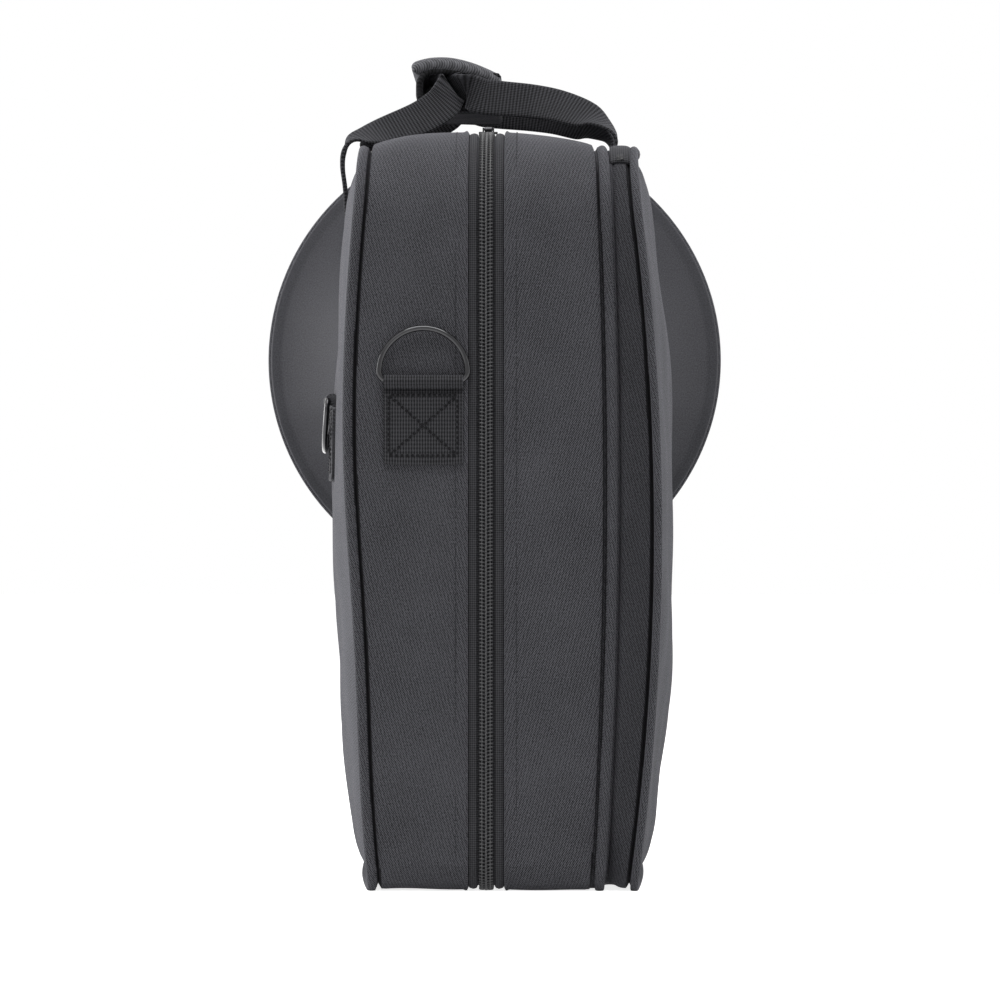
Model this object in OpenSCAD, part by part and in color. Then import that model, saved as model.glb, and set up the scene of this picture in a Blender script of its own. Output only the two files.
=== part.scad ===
// Padded carry case with a narrow body and a round flared drum at its back.
// It opens like a clamshell: the left half is the base, the right half the lid,
// and a cloth hinge joins them under the bottom. X runs across the narrow side,
// Y runs from the front towards the drum, Z is up. Sizes are in millimetres.

/* [Body outline] */
// Depth from the front wall to the back wall, seen from the side
body_depth = 475; // [470:1:480]
// Height of the front wall
front_height = 500; // [490:1:505]
// Height of the back wall's upper corner
back_height = 522; // [515:1:526]
// Depth of the flat bottom
bottom_depth = 372; // [365:1:380]
// Height at which the sloping underside meets the drum
slope_height = 205; // [198:1:212]
// Radius of the upper front corner
top_corner_r = 62; // [55:1:66]
// Radius of the lower front corner
bottom_corner_r = 18; // [16:1:22]
// Radius of the lower back corner
heel_corner_r = 70; // [60:1:75]

/* [Side panels] */
// Distance from the zip line to the top of the left panel's crown
left_crown = 110.5; // [106:0.5:114]
// Radius of the sphere that the left panel is a cap of
left_crown_r = 2000; // [1800:50:2400]
// Distance from the zip line to the top of the right panel's crown
right_crown = 92; // [90:1:94]
// Radius of the sphere that the right panel is a cap of
right_crown_r = 4000; // [3600:100:4400]
// Thickness of the padded wall
wall = 6; // [5:0.5:7]
// Thickness of the plush lining on its foam
lining = 6; // [5:0.5:7]

/* [Drum] */
// Height of the drum's axis
drum_z = 363; // [360:1:366]
// Radius of the drum's rim
drum_r = 170; // [168:1:172]
// Radius of the flare's curve
flare_r = 135; // [130:1:138]
// Radius of the throat at the start of the flare
throat_r = 95; // [90:1:98]
// Depth at which the flare starts
throat_y = 350; // [345:1:354]
// Depth of the drum's back face
drum_back = 542; // [536:1:546]
// Growth of the band's radius from the rim to the back
band_growth = 2; // [0:0.5:3]
// Radius between the band and the end cap
cap_corner_r = 16; // [14:1:18]

/* [Pocket] */
// Distance from the zip line to the top of the pocket's crown
pocket_crown = 128; // [124:1:132]
// Radius of the sphere that the pocket's face is a cap of
pocket_crown_r = 1700; // [1600:50:2000]
// Depth of the pocket, seen from the side
pocket_depth = 338; // [330:1:342]
// Height of the pocket's front edge
pocket_height = 489; // [480:1:492]
// Thickness of the pocket's cloth and foam
pocket_wall = 4; // [3:0.5:5]

/* [Zips and piping] */
// Distance from the zip line to the folded edge of each wall
zip_opening = 12; // [11:0.5:13]
// Half the width of the closed coil chain
coil_half = 5; // [4:0.5:6]
// Radius of the piping
piping_r = 3; // [2.5:0.1:3.4]

/* [Rings and handle] */
// Width of the webbing that holds a ring
ring_web = 52; // [48:1:54]
// Radius of a ring's wire
wire_r = 1.9; // [1.6:0.1:2]
// Width of the handle webbing
strap_w = 25; // [22:1:28]
// Thickness of the handle webbing
strap_t = 2.4; // [2:0.1:2.6]
// Length of the padded grip
grip_len = 104; // [100:2:120]

/* [Hidden] */
$fn = 96;

// The front wall stands this far in front of the origin, so that the whole is centred on Y.
front_y = -267.4;
// Halves stay this far from the zip line.
split_gap = 0.3;
// Reach of the boxes that cut the solids.
far = 700;
// Colours of the cloth, the moulded drum, the webbing, the lining and the metal.
cloth = [0.25, 0.25, 0.27];
moulded = [0.22, 0.22, 0.24];
webbing = [0.15, 0.15, 0.16];
plush = [0.12, 0.12, 0.13];
foam = [0.18, 0.18, 0.2];
metal = [0.3, 0.3, 0.32];

// Corners of the body's outline as [y, z, radius], anticlockwise from the lower front.
body_corners = [
    [0, 0, bottom_corner_r],
    [bottom_depth, 0, heel_corner_r],
    [body_depth, slope_height, 30],
    [body_depth, back_height, 16],
    [0, front_height, top_corner_r]
];
pocket_rise = 14;
pocket_corners = [
    [1, 0, 17],
    [pocket_depth, 0, 46],
    [pocket_depth, pocket_height + pocket_rise, 46],
    [1, pocket_height, 56]
];

// Outward unit normal of the edge from corner i to the next one.
function edge_normal(corners, i) = let (
    n = len(corners),
    a = corners[(i + n) % n],
    b = corners[(i + 1) % n],
    d = [b[0] - a[0], b[1] - a[1]]
) [d[1], -d[0]] / norm(d);

// Centre of the circle that rounds corner i.
function corner_centre(corners, i) = let (
    n = len(corners),
    n1 = edge_normal(corners, i - 1),
    n2 = edge_normal(corners, i),
    c = corners[i],
    bisector = (n1 + n2) / (1 + n1 * n2)
) [c[0], c[1]] - bisector * c[2];

// Points round a convex outline with round corners, drawn inset from its edges.
corner_step = 9;
function corner_steps(corner) = max(3, ceil(corner[2] / corner_step));
function outline_path(corners, inset) = [
    for (i = [0:len(corners) - 1]) let (
        centre = corner_centre(corners, i),
        n1 = edge_normal(corners, i - 1),
        n2 = edge_normal(corners, i),
        start = atan2(n1[1], n1[0]),
        turn = (atan2(n2[1], n2[0]) - start + 720) % 360,
        steps = corner_steps(corners[i])
    ) for (k = [0:steps]) let (angle = start + turn * k / steps)
        centre + (corners[i][2] - inset) * [cos(angle), sin(angle)]
];
module rounded(corners, inset) { polygon(outline_path(corners, inset)); }

// Extrudes a side view, drawn as [y, z], across X.
module across(x0, x1) {
    translate([x0, front_y, 0]) rotate([90, 0, 90]) linear_extrude(x1 - x0) children();
}

// Height of a crowned panel over a point of the side view: a shallow cap of a sphere, drawn in
// towards the zip near its bottom and its top, and most at mid-length.
body_middle = [265, 265];
pocket_middle = [220, 235];
edge_draw = 6.5;
edge_band = 25;
edge_top = 475;
function drawn_in(p, middle) = edge_draw
    * max(0, 1 - p[1] / edge_band, (p[1] - edge_top) / edge_band)
    * max(0, 1 - pow((p[0] - middle[0]) / middle[0], 2));
function crown_height(reach, r, p, middle = body_middle) =
    reach - r + sqrt(r * r - pow(p[0] - middle[0], 2) - pow(p[1] - middle[1], 2))
    - drawn_in(p, middle);

// Solid that lies under a crowned panel; side is -1 on the left and 1 on the right.
crown_cells = 12;
crown_low = -25;
crown_high = 575;
crown_back = -60;
module crown(side, reach, r, inset, middle = body_middle) {
    n = crown_cells + 1;
    step = (crown_high - crown_low) / crown_cells;
    grid = [for (i = [0:n - 1], j = [0:n - 1]) [crown_low + i * step, crown_low + j * step]];
    top = [for (p = grid) [crown_height(reach - inset, r - inset, p, middle), p[0], p[1]]];
    bottom = [for (p = grid) [crown_back, p[0], p[1]]];
    cells = [for (i = [0:n - 2], j = [0:n - 2]) [i * n + j, (i + 1) * n + j,
        (i + 1) * n + j + 1, i * n + j + 1]];
    rim = concat(
        [for (i = [0:n - 2]) i * n],
        [for (j = [0:n - 2]) (n - 1) * n + j],
        [for (i = [n - 1:-1:1]) i * n + n - 1],
        [for (j = [n - 1:-1:1]) j]
    );
    faces = concat(
        [for (c = cells) for (tri = [[c[0], c[2], c[1]], [c[0], c[3], c[2]]]) tri],
        [for (c = cells) for (tri = [[c[0], c[1], c[2]], [c[0], c[2], c[3]]])
            [for (v = tri) v + n * n]],
        [for (k = [0:len(rim) - 1]) let (a = rim[k], b = rim[(k + 1) % len(rim)])
            for (tri = [[a, b, b + n * n], [a, b + n * n, a + n * n]]) tri]
    );
    mirror([side < 0 ? 1 : 0, 0, 0]) translate([0, front_y, 0])
        polyhedron(points = concat(top, bottom), faces = faces);
}

// Padded shells are taken as one mesh each: they have no bore or pin that needs a true surface.
module one_mesh() { resize([0, 0, 0]) children(); }

// Body of one half, from the zip line out to its crowned panel.
module half_body(side, inset, from = split_gap) {
    reach = side < 0 ? left_crown : right_crown;
    r = side < 0 ? left_crown_r : right_crown_r;
    intersection() {
        across(side < 0 ? -reach - 5 : from, side < 0 ? -from : reach + 5)
            rounded(body_corners, inset);
        crown(side, reach, r, inset);
    }
}

// Half section of the drum as [radius, y], inset from its outside.
flare_centre = throat_r + flare_r;
rim_y = throat_y + sqrt(flare_r * flare_r - (flare_centre - drum_r) * (flare_centre - drum_r));
module drum_section(inset) {
    back_r = drum_r + band_growth;
    corner = back_r - cap_corner_r;
    corner_y = drum_back - cap_corner_r;
    difference() {
        union() {
            polygon([
                [0, throat_y],
                [drum_r - inset, throat_y],
                [drum_r - inset, rim_y],
                [back_r - inset, corner_y],
                [corner, drum_back - inset],
                [0, drum_back - inset]
            ]);
            translate([corner, corner_y]) circle(r = cap_corner_r - inset);
        }
        translate([flare_centre, throat_y]) circle(r = flare_r + inset);
    }
}

// The drum turned about its own axis.
module drum(inset) {
    translate([0, front_y, drum_z]) rotate([-90, 0, 0])
        rotate_extrude($fn = 72) drum_section(inset);
}

// Hole that the padded walls leave for the drum and for the piping round its rim.
drum_gap = 0.4;
rim_piping_r = 2;
module drum_hole() {
    half_length = rim_piping_r + drum_gap;
    drum(-drum_gap);
    translate([0, front_y + rim_y - half_length, drum_z]) rotate([-90, 0, 0])
        cylinder(r = drum_r + half_length, h = 2 * half_length, $fn = 72);
}

// Everything on one side of the zip line.
module side_space(side, from) {
    translate([side < 0 ? -far : from, -far, -far]) cube([far - from, 2 * far, 2 * far]);
}

// Narrow wall that runs round one half, open where the drum goes through it.
module gusset(side) {
    reach = side < 0 ? left_crown : right_crown;
    r = side < 0 ? left_crown_r : right_crown_r;
    color(cloth) one_mesh() difference() {
        intersection() {
            across(side < 0 ? -reach - 5 : zip_opening, side < 0 ? -zip_opening : reach + 5)
                difference() {
                    rounded(body_corners, 0);
                    rounded(body_corners, wall);
                }
            crown(side, reach, r, wall);
        }
        drum_hole();
        hinge_gap(side);
    }
}

// The walls stop short of the fold line along the bottom, so the hinge leaf meets them there.
hinge_front = 62;
hinge_back = 300;
hinge_width = 30;
hinge_t = 2;
module hinge_gap(side) {
    translate([side < 0 ? -hinge_width : 0, front_y + hinge_front, -1])
        cube([hinge_width, hinge_back - hinge_front, hinge_t + 1]);
}

// Large crowned panel of one half.
module side_panel(side) {
    reach = side < 0 ? left_crown : right_crown;
    r = side < 0 ? left_crown_r : right_crown_r;
    color(cloth) one_mesh() difference() {
        half_body(side, 0, 40);
        crown(side, reach, r, wall);
        drum_hole();
    }
}

// Plush lining of one half's walls and panel.
module plush_lining(side) {
    color(plush) one_mesh() difference() {
        half_body(side, wall, 1);
        half_body(side, wall + lining, 0);
        drum_hole();
    }
}

// Part of the drum's wall between two depths.
module drum_layer(side, outer, inner, from, y0, y1) {
    intersection() {
        difference() {
            drum(outer);
            drum(inner);
        }
        translate([side < 0 ? -far : from, front_y + y0, -far])
            cube([far - from, y1 - y0, 2 * far]);
    }
}

module flare(side) {
    color(moulded) drum_layer(side, 0, wall, zip_opening, throat_y, rim_y);
}

// Both halves' body as one solid, for cutting what meets it.
module half_solid_body() {
    half_body(-1, 0, 0);
    half_body(1, 0, 0);
}

module drum_band(side) {
    color(moulded) drum_layer(side, 0, wall, zip_opening, rim_y, drum_back - cap_corner_r);
}

module end_cap(side) {
    color(moulded) drum_layer(side, 0, wall, zip_opening, drum_back - cap_corner_r, drum_back + 1);
}

module drum_lining(side) {
    color(plush) drum_layer(side, wall, wall + lining, 1, throat_y, drum_back);
}

// Outline of the whole case on the zip line, as [y, z], inset from its outside.
module centre_outline(inset) {
    rounded(body_corners, inset);
    translate([0, drum_z]) for (flip = [0, 1])
        mirror([0, flip]) rotate(90) mirror([0, 1]) drum_section(inset);
}

// A strip along that outline between two distances from the zip line.
module zip_strip(side, outer, inner, near, away) {
    difference() {
        across(side < 0 ? -away : near, side < 0 ? -near : away) difference() {
            centre_outline(outer);
            centre_outline(inner);
        }
        hinge_gap(side);
    }
}

tape_inset = 1.2;
tape_t = 1.4;
module zip_tape(side) {
    color(webbing) zip_strip(side, tape_inset, tape_inset + tape_t, 1, zip_opening);
}

coil_rise = 0.6;
module zip_coil(side) {
    color(webbing) difference() {
        zip_strip(side, -coil_rise, tape_inset, split_gap, coil_half);
        translate([-far, front_y + hinge_front - 6, -2])
            cube([2 * far, hinge_back - hinge_front + 12, 8]);
        translate([-far, front_y - 2, -far]) cube([2 * far, 600, far + 0.01]);
    }
}

// Adds points to an outline's long edges, so that a tube swept round it follows the crown.
edge_step = 45;
function refined(path) = [
    for (i = [0:len(path) - 1]) let (
        a = path[i],
        b = path[(i + 1) % len(path)],
        steps = max(1, ceil(norm(b - a) / edge_step))
    ) for (k = [0:steps - 1]) a + (b - a) * k / steps
];

tube_sides = 8;
module closed_tube(points, r) {
    n = len(points);
    rings = [for (i = [0:n - 1]) let (
        t = points[(i + 1) % n] - points[(i + n - 1) % n],
        dir = t / norm(t),
        u0 = [1, 0, 0] - dir * dir[0],
        u = u0 / norm(u0),
        v = cross(dir, u)
    ) [for (k = [0:tube_sides - 1]) let (a = 360 * (k + 0.5) / tube_sides)
        points[i] + r * (cos(a) * u + sin(a) * v)]];
    polyhedron(
        points = [for (ring = rings) for (p = ring) p],
        faces = [for (i = [0:n - 1], k = [0:tube_sides - 1]) let (
            j = (i + 1) % n,
            m = (k + 1) % tube_sides
        ) for (tri = [[i * tube_sides + k, j * tube_sides + k, j * tube_sides + m],
            [i * tube_sides + k, j * tube_sides + m, i * tube_sides + m]]) tri]
    );
}

// Piping sewn into the seam between a gusset and its panel.
module edge_piping(corners, side, reach, r, middle = body_middle) {
    path = refined(outline_path(corners, piping_r));
    translate([0, front_y, 0]) closed_tube(
        [for (p = path) [side * crown_height(reach, r, p, middle), p[0], p[1]]], piping_r);
}

module body_piping(side) {
    reach = side < 0 ? left_crown : right_crown;
    r = side < 0 ? left_crown_r : right_crown_r;
    color(cloth) one_mesh() difference() {
        edge_piping(body_corners, side, reach, r);
        half_body(side, 0, 0);
        drum_hole();
    }
}

// Piping round the drum's rim, set into the step between the flare and the band.
module rim_piping(side) {
    color(cloth) intersection() {
        difference() {
            translate([0, front_y + rim_y, drum_z]) rotate([-90, 0, 0])
                rotate_extrude($fn = 144) translate([drum_r, 0]) circle(r = rim_piping_r, $fn = 24);
            drum(0);
        }
        side_space(side, zip_opening);
    }
}

// Half of the cloth hinge: a strip sewn under one half's bottom edge, meeting the other at the fold.
module hinge_leaf(side) {
    color(webbing) translate([side < 0 ? -hinge_width : split_gap, front_y + hinge_front, 0])
        cube([hinge_width - split_gap, hinge_back - hinge_front, hinge_t]);
}

// Cut foam block with a round recess that holds the coiled load in one half.
recess_y = 225;
recess_z = 235;
recess_r = 195;
cradle_from = 24;
foam_gap = 0.2;
module cradle(side) {
    color(foam) one_mesh() difference() {
        half_body(side, wall + lining + foam_gap, cradle_from);
        across(-far, far) translate([recess_y, recess_z]) circle(r = recess_r, $fn = 144);
        drum_hole();
    }
}

// Half ring of foam inside the drum, which the load's flared end rests on.
drum_pad_r = 118;
drum_pad_t = 14;
drum_pad_inset = 14;
module drum_pad(side) {
    inner_back = drum_back - wall - lining - foam_gap;
    color(foam) intersection() {
        translate([0, front_y + inner_back, drum_z]) rotate([90, 0, 0]) difference() {
            cylinder(r = drum_r - wall - lining - drum_pad_inset, h = drum_pad_t);
            translate([0, 0, -1]) cylinder(r = drum_pad_r, h = drum_pad_t + 2);
        }
        side_space(side, 2);
    }
}

// Accessory pocket on the right panel, crowned about a middle of its own.
pocket_from = 60;
module pocket_crown_solid(inset) { crown(1, pocket_crown, pocket_crown_r, inset, pocket_middle); }
module pocket_body(inset) {
    intersection() {
        across(pocket_from, pocket_crown + 5) rounded(pocket_corners, inset);
        pocket_crown_solid(inset);
    }
}

module right_edge_cutter() {
    edge_piping(body_corners, 1, right_crown, right_crown_r);
}

module pocket_gusset() {
    color(cloth) one_mesh() difference() {
        intersection() {
            across(pocket_from, pocket_crown) difference() {
                rounded(pocket_corners, 0);
                rounded(pocket_corners, pocket_wall);
            }
            pocket_crown_solid(pocket_wall);
        }
        half_body(1, 0, 0);
        right_edge_cutter();
        drum_hole();
    }
}

module pocket_face() {
    color(cloth) one_mesh() difference() {
        pocket_body(0);
        pocket_crown_solid(pocket_wall);
        drum_hole();
    }
}

module pocket_piping() {
    color(cloth) one_mesh() difference() {
        edge_piping(pocket_corners, 1, pocket_crown, pocket_crown_r, pocket_middle);
        pocket_body(0);
        drum_hole();
    }
}

pocket_zip_x = 97;
pocket_tape_half = 6;
pocket_coil_half = 2.6;
pocket_zip_front = 24;
pocket_zip_back = 286;
module pocket_zip_strip(outer, inner, half_width) {
    intersection() {
        across(pocket_zip_x - half_width, pocket_zip_x + half_width) difference() {
            rounded(pocket_corners, outer);
            rounded(pocket_corners, inner);
        }
        translate([0, front_y + pocket_zip_front, pocket_height / 2])
            cube([far, pocket_zip_back - pocket_zip_front, far]);
    }
}

module pocket_zip_tape() { color(webbing) pocket_zip_strip(-1, 0, pocket_tape_half); }
module pocket_zip_coil() { color(webbing) pocket_zip_strip(-2, -1, pocket_coil_half); }

// A zip slider that rides over the coil, drawn at the origin with the zip running along Y.
slider_len = 14;
slider_half = 6.4;
slider_low = 0.9;
plate_t = 1.3;
pin_r = 0.8;
pin_height = 4;
lug_half = 3.4;
lug_t = 1.2;
lug_low = slider_low + plate_t - 0.1;
module slider(flange_low) {
    color(metal) {
        translate([-slider_half, -slider_len / 2, slider_low])
            cube([2 * slider_half, slider_len, plate_t]);
        translate([-slider_half, -slider_len / 2, flange_low])
            cube([1, slider_len, slider_low + plate_t - flange_low]);
        for (side = [-1, 1]) translate([side * lug_half - lug_t / 2, -2, lug_low])
            cube([lug_t, 4, pin_height + lug_t - lug_low]);
        translate([0, 0, pin_height]) rotate([0, 90, 0])
            cylinder(r = pin_r, h = 2 * lug_half, center = true, $fn = 24);
    }
}

// Its pull: a flat tab with an eye round the slider's pin, lying along Y.
pull_len = 28;
pull_half = 2.5;
pull_t = 2.2;
eye_r = 1.7;
pin_play = 0.15;
module pull(way) {
    color(metal) translate([0, 0, pin_height]) difference() {
        union() {
            translate([-pull_half, way < 0 ? -pull_len : 0, -pull_t / 2])
                cube([2 * pull_half, pull_len, pull_t]);
            rotate([0, 90, 0]) cylinder(r = eye_r, h = 2 * pull_half, center = true, $fn = 32);
        }
        rotate([0, 90, 0]) cylinder(r = pin_r + pin_play, h = 3 * pull_half, center = true, $fn = 32);
    }
}

// Places a child on the sloping top line at a depth from the front wall.
top_slope = atan2(back_height - front_height, body_depth);
module on_top(y) {
    translate([0, front_y + y, front_height + y * tan(top_slope)]) rotate([top_slope, 0, 0])
        children();
}
front_slider_y = 120;
rear_slider_y = 345;
flange_drop = -0.9;

pocket_slope = atan2(pocket_rise, pocket_depth - 1);
pocket_slider_y = 266;
pocket_lift = 1.4;
pocket_flange_low = 0.2;
module on_pocket(y) {
    translate([pocket_zip_x, front_y + y, pocket_height
        + (y - 1) * tan(pocket_slope) + pocket_lift])
        rotate([pocket_slope, 0, 0]) children();
}

// Sewn webbing patch with a loop for a ring: the loop's axis is the local X axis at the origin,
// the patch lies behind it and runs down, and the wall is at y = loop_r.
loop_r = 3.9;
patch_drop = 54;
patch_t = 3;
wire_play = 0.3;
module ring_patch(behind) {
    color(webbing) difference() {
        union() {
            rotate([0, 90, 0]) cylinder(r = loop_r, h = ring_web, center = true, $fn = 48);
            translate([-ring_web / 2, loop_r - patch_t, -patch_drop])
                cube([ring_web, patch_t + behind, patch_drop]);
        }
        rotate([0, 90, 0]) cylinder(r = wire_r + wire_play, h = ring_web + 2, center = true, $fn = 48);
    }
}

// D-shaped ring whose straight bar lies on the X axis and whose arch points up.
arch_r = 29;
arch_rise = 5.5;
module d_ring() {
    color(metal) {
        rotate([0, 90, 0]) cylinder(r = wire_r, h = 2 * arch_r, center = true, $fn = 32);
        for (side = [-1, 1]) translate([side * arch_r, 0, 0]) {
            cylinder(r = wire_r, h = arch_rise, $fn = 32);
            sphere(r = wire_r, $fn = 32);
        }
        translate([0, 0, arch_rise]) rotate([90, 0, 0])
            rotate_extrude(angle = 180, $fn = 96) translate([arch_r, 0])
                circle(r = wire_r, $fn = 32);
    }
}

front_ring_x = -41;
front_ring_z = 335;
side_ring_y = 118;
side_ring_z = 325;
// The side ring hangs down and leans a little off its patch.
hang_angle = 175;
side_ring_x = -crown_height(left_crown, left_crown_r, [side_ring_y, side_ring_z]) - loop_r;

module at_front_ring() { translate([front_ring_x, front_y - loop_r, front_ring_z]) children(); }
module at_side_ring() {
    translate([side_ring_x, front_y + side_ring_y, side_ring_z]) rotate([0, 0, -90]) children();
}

// A webbing ribbon through stations of [middle, width direction].
function ribbon_ring(stations, i) = let (
    n = len(stations),
    run = stations[min(i + 1, n - 1)][0] - stations[max(i - 1, 0)][0],
    dir = run / norm(run),
    w0 = stations[i][1] - dir * (stations[i][1] * dir),
    w = w0 / norm(w0) * strap_w / 2,
    t = cross(dir, w0 / norm(w0)) * strap_t / 2,
    m = stations[i][0]
) [m - w - t, m + w - t, m + w + t, m - w + t];
module ribbon(stations) {
    n = len(stations);
    polyhedron(
        points = [for (i = [0:n - 1]) for (p = ribbon_ring(stations, i)) p],
        faces = concat(
            [[0, 2, 1], [0, 3, 2]],
            [for (i = [0:n - 2], k = [0:3]) let (a = 4 * i + k, b = 4 * i + (k + 1) % 4)
                for (tri = [[a, b, b + 4], [a, b + 4, a + 4]]) tri],
            [[4 * n - 4, 4 * n - 3, 4 * n - 2], [4 * n - 4, 4 * n - 2, 4 * n - 1]]
        )
    );
}

// Stations along the near half of each strap, as [x, y, z] and a width direction; the far
// half is their mirror image about the middle of the grip.
grip_y = 240;
left_near = [
    [[-98, 150, 446], [0, 1, 0]],
    [[-99.3, 150, 470], [0, 1, 0]],
    [[-101.6, 150, 488], [0, 1, 0]],
    [[-101.2, 151, 501], [0.1, 1, 0]],
    [[-97, 153, 513], [0.2, 0.95, 0.25]],
    [[-84, 158, 516], [0.1, 0.8, 0.5]],
    [[-66, 165, 518.5], [-0.3, 0.55, 0.75]],
    [[-46, 172, 525.5], [-0.45, 0.3, 0.85]],
    [[-33, 178, 534.5], [-0.5, 0.15, 0.85]],
    [[-28, 183, 541], [-0.5, 0.05, 0.87]],
    [[-27, 188, 544.5], [-0.5, 0, 0.87]],
    [[-27, 200, 544.5], [-0.5, 0, 0.87]]
];
right_near = [
    [[86, 150, 497.5], [0, 1, 0]],
    [[87.2, 150, 504], [0, 1, 0]],
    [[85, 151, 513.5], [0.1, 1, 0.1]],
    [[77, 154, 519.5], [0.25, 0.9, 0.35]],
    [[66, 159, 524], [0.2, 0.6, 0.72]],
    [[47, 166, 530], [0.1, 0.45, 0.87]],
    [[28.6, 171, 533.5], [0, 0.3, 0.94]],
    [[9.2, 174, 535.8], [0, 0.2, 0.97]],
    [[-4, 177, 537.5], [0.05, 0.1, 1]],
    [[-10, 182, 541], [0.2, 0, 0.97]],
    [[-11, 188, 544.5], [0.5, 0, 0.87]],
    [[-11, 200, 544.5], [0.5, 0, 0.87]]
];
// The far half stands higher, as the case's top does there, and meets the near half at the grip.
far_rise = 2 * (grip_y - left_near[0][0][1]) * tan(top_slope);
rise_fade = 32;
function mirrored(station, top) = [
    [
        station[0][0],
        2 * grip_y - station[0][1],
        station[0][2] + far_rise * min(1, (top - station[0][2]) / rise_fade)
    ],
    [station[1][0], -station[1][1], station[1][2]]
];
function whole(near) = let (last = len(near) - 1)
    concat(near, [for (i = [last:-1:0]) mirrored(near[i], near[last][0][2])]);

module strap(near) {
    color(webbing) one_mesh() difference() {
        translate([0, front_y, 0]) ribbon(whole(near));
        half_solid_body();
        pocket_body(0);
    }
}

// Padded grip round both straps, open on the right so that the lid's strap slides out.
grip_left = -54;
grip_right = 20;
grip_low = 527;
grip_high = 562;
grip_t = 4.5;
grip_r = 13;
module grip_outline(inset) {
    rounded([
        [grip_left, grip_low, grip_r],
        [grip_right, grip_low, grip_r],
        [grip_right, grip_high, grip_r],
        [grip_left, grip_high, grip_r]
    ], inset);
}
module along_grip() {
    translate([0, front_y + grip_y + grip_len / 2, 0]) rotate([90, 0, 0])
        linear_extrude(grip_len) children();
}
grip_mouth = 8;
module grip_pad() {
    color(cloth) along_grip() difference() {
        grip_outline(0);
        grip_outline(grip_t);
        translate([grip_mouth, 0]) square([far, far]);
    }
}

// Flap that folds over the grip's top and closes it with hook and loop.
flap_t = 4;
flap_right = 10;
flap_low = grip_high + 0.4;
module grip_flap() {
    color(cloth) along_grip() {
        translate([grip_left + flap_t / 2, flap_low])
            square([flap_right - grip_left - flap_t, flap_t]);
        translate([grip_left + flap_t / 2, flap_low + flap_t / 2]) circle(r = flap_t / 2);
        translate([flap_right - flap_t / 2, flap_low + flap_t / 2]) circle(r = flap_t / 2);
    }
}

// The side patch is cut to the crown of the panel that it is sewn to.
patch_reach = 12;
module side_ring_patch() {
    color(webbing) one_mesh() difference() {
        at_side_ring() ring_patch(patch_reach);
        half_body(-1, 0, 0);
    }
}

gusset(-1);  // left_gusset
side_panel(-1);  // left_side_panel
flare(-1);  // left_flare
drum_band(-1);  // left_drum_band
end_cap(-1);  // left_end_cap
plush_lining(-1);  // left_lining
drum_lining(-1);  // left_drum_lining
zip_tape(-1);  // left_zip_tape
zip_coil(-1);  // left_zip_coil
body_piping(-1);  // left_piping
rim_piping(-1);  // left_rim_piping
hinge_leaf(-1);  // left_hinge_leaf
cradle(-1);  // left_cradle
drum_pad(-1);  // left_drum_pad
gusset(1);  // right_gusset
side_panel(1);  // right_side_panel
flare(1);  // right_flare
drum_band(1);  // right_drum_band
end_cap(1);  // right_end_cap
plush_lining(1);  // right_lining
drum_lining(1);  // right_drum_lining
zip_tape(1);  // right_zip_tape
zip_coil(1);  // right_zip_coil
body_piping(1);  // right_piping
rim_piping(1);  // right_rim_piping
hinge_leaf(1);  // right_hinge_leaf
cradle(1);  // right_cradle
drum_pad(1);  // right_drum_pad
pocket_gusset();
pocket_face();
pocket_piping();
pocket_zip_tape();
pocket_zip_coil();
on_pocket(pocket_slider_y) slider(pocket_flange_low);  // pocket_slider
on_pocket(pocket_slider_y) pull(-1);  // pocket_pull
on_top(front_slider_y) slider(flange_drop);  // front_slider
on_top(front_slider_y) pull(1);  // front_pull
on_top(rear_slider_y) slider(flange_drop);  // rear_slider
on_top(rear_slider_y) pull(-1);  // rear_pull
at_front_ring() ring_patch(0);  // front_ring_patch
at_front_ring() d_ring();  // front_ring
side_ring_patch();
at_side_ring() rotate([hang_angle, 0, 0]) d_ring();  // side_ring
strap(left_near);  // left_strap
strap(right_near);  // right_strap
grip_pad();
grip_flap();
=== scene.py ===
import bmesh
import bpy
import numpy as np
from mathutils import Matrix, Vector


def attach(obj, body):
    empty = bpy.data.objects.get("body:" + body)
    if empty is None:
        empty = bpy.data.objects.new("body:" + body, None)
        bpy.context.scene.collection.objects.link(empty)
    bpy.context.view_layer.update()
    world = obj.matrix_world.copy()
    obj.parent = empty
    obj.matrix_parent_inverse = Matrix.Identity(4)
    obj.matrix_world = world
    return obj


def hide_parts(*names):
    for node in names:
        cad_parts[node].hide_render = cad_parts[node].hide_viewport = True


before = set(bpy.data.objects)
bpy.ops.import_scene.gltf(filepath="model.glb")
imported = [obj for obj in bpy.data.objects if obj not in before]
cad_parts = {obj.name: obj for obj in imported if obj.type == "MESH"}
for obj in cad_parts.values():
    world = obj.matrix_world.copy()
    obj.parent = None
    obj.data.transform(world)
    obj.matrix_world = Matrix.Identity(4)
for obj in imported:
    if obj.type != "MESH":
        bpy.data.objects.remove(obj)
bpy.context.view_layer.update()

# ---------------------------------------------------------------------------
# Camera, lamps, floor and world
# A level long-lens view of the narrow front, a big soft lamp on each side and one above.
# ---------------------------------------------------------------------------
front_y = -0.2674
camera_distance = 2.95
frame_width = 0.655
sensor_width = 0.036
view_centre_x = 0.0092
view_height = 0.257
view_yaw = 0.0107
ambient_strength = 0.35
floor_own_white = 0.8

camera_data = bpy.data.cameras.new("camera")
camera = bpy.data.objects.new("camera", camera_data)
bpy.context.collection.objects.link(camera)
camera_data.sensor_width = sensor_width * 1000
camera_data.lens = sensor_width * 1000 * camera_distance / frame_width
camera_data.clip_end = 50.0
camera.location = (view_centre_x + view_yaw * camera_distance, front_y - camera_distance, view_height)
camera.rotation_euler = (np.pi / 2, 0.0, view_yaw)
bpy.context.scene.camera = camera


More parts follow.
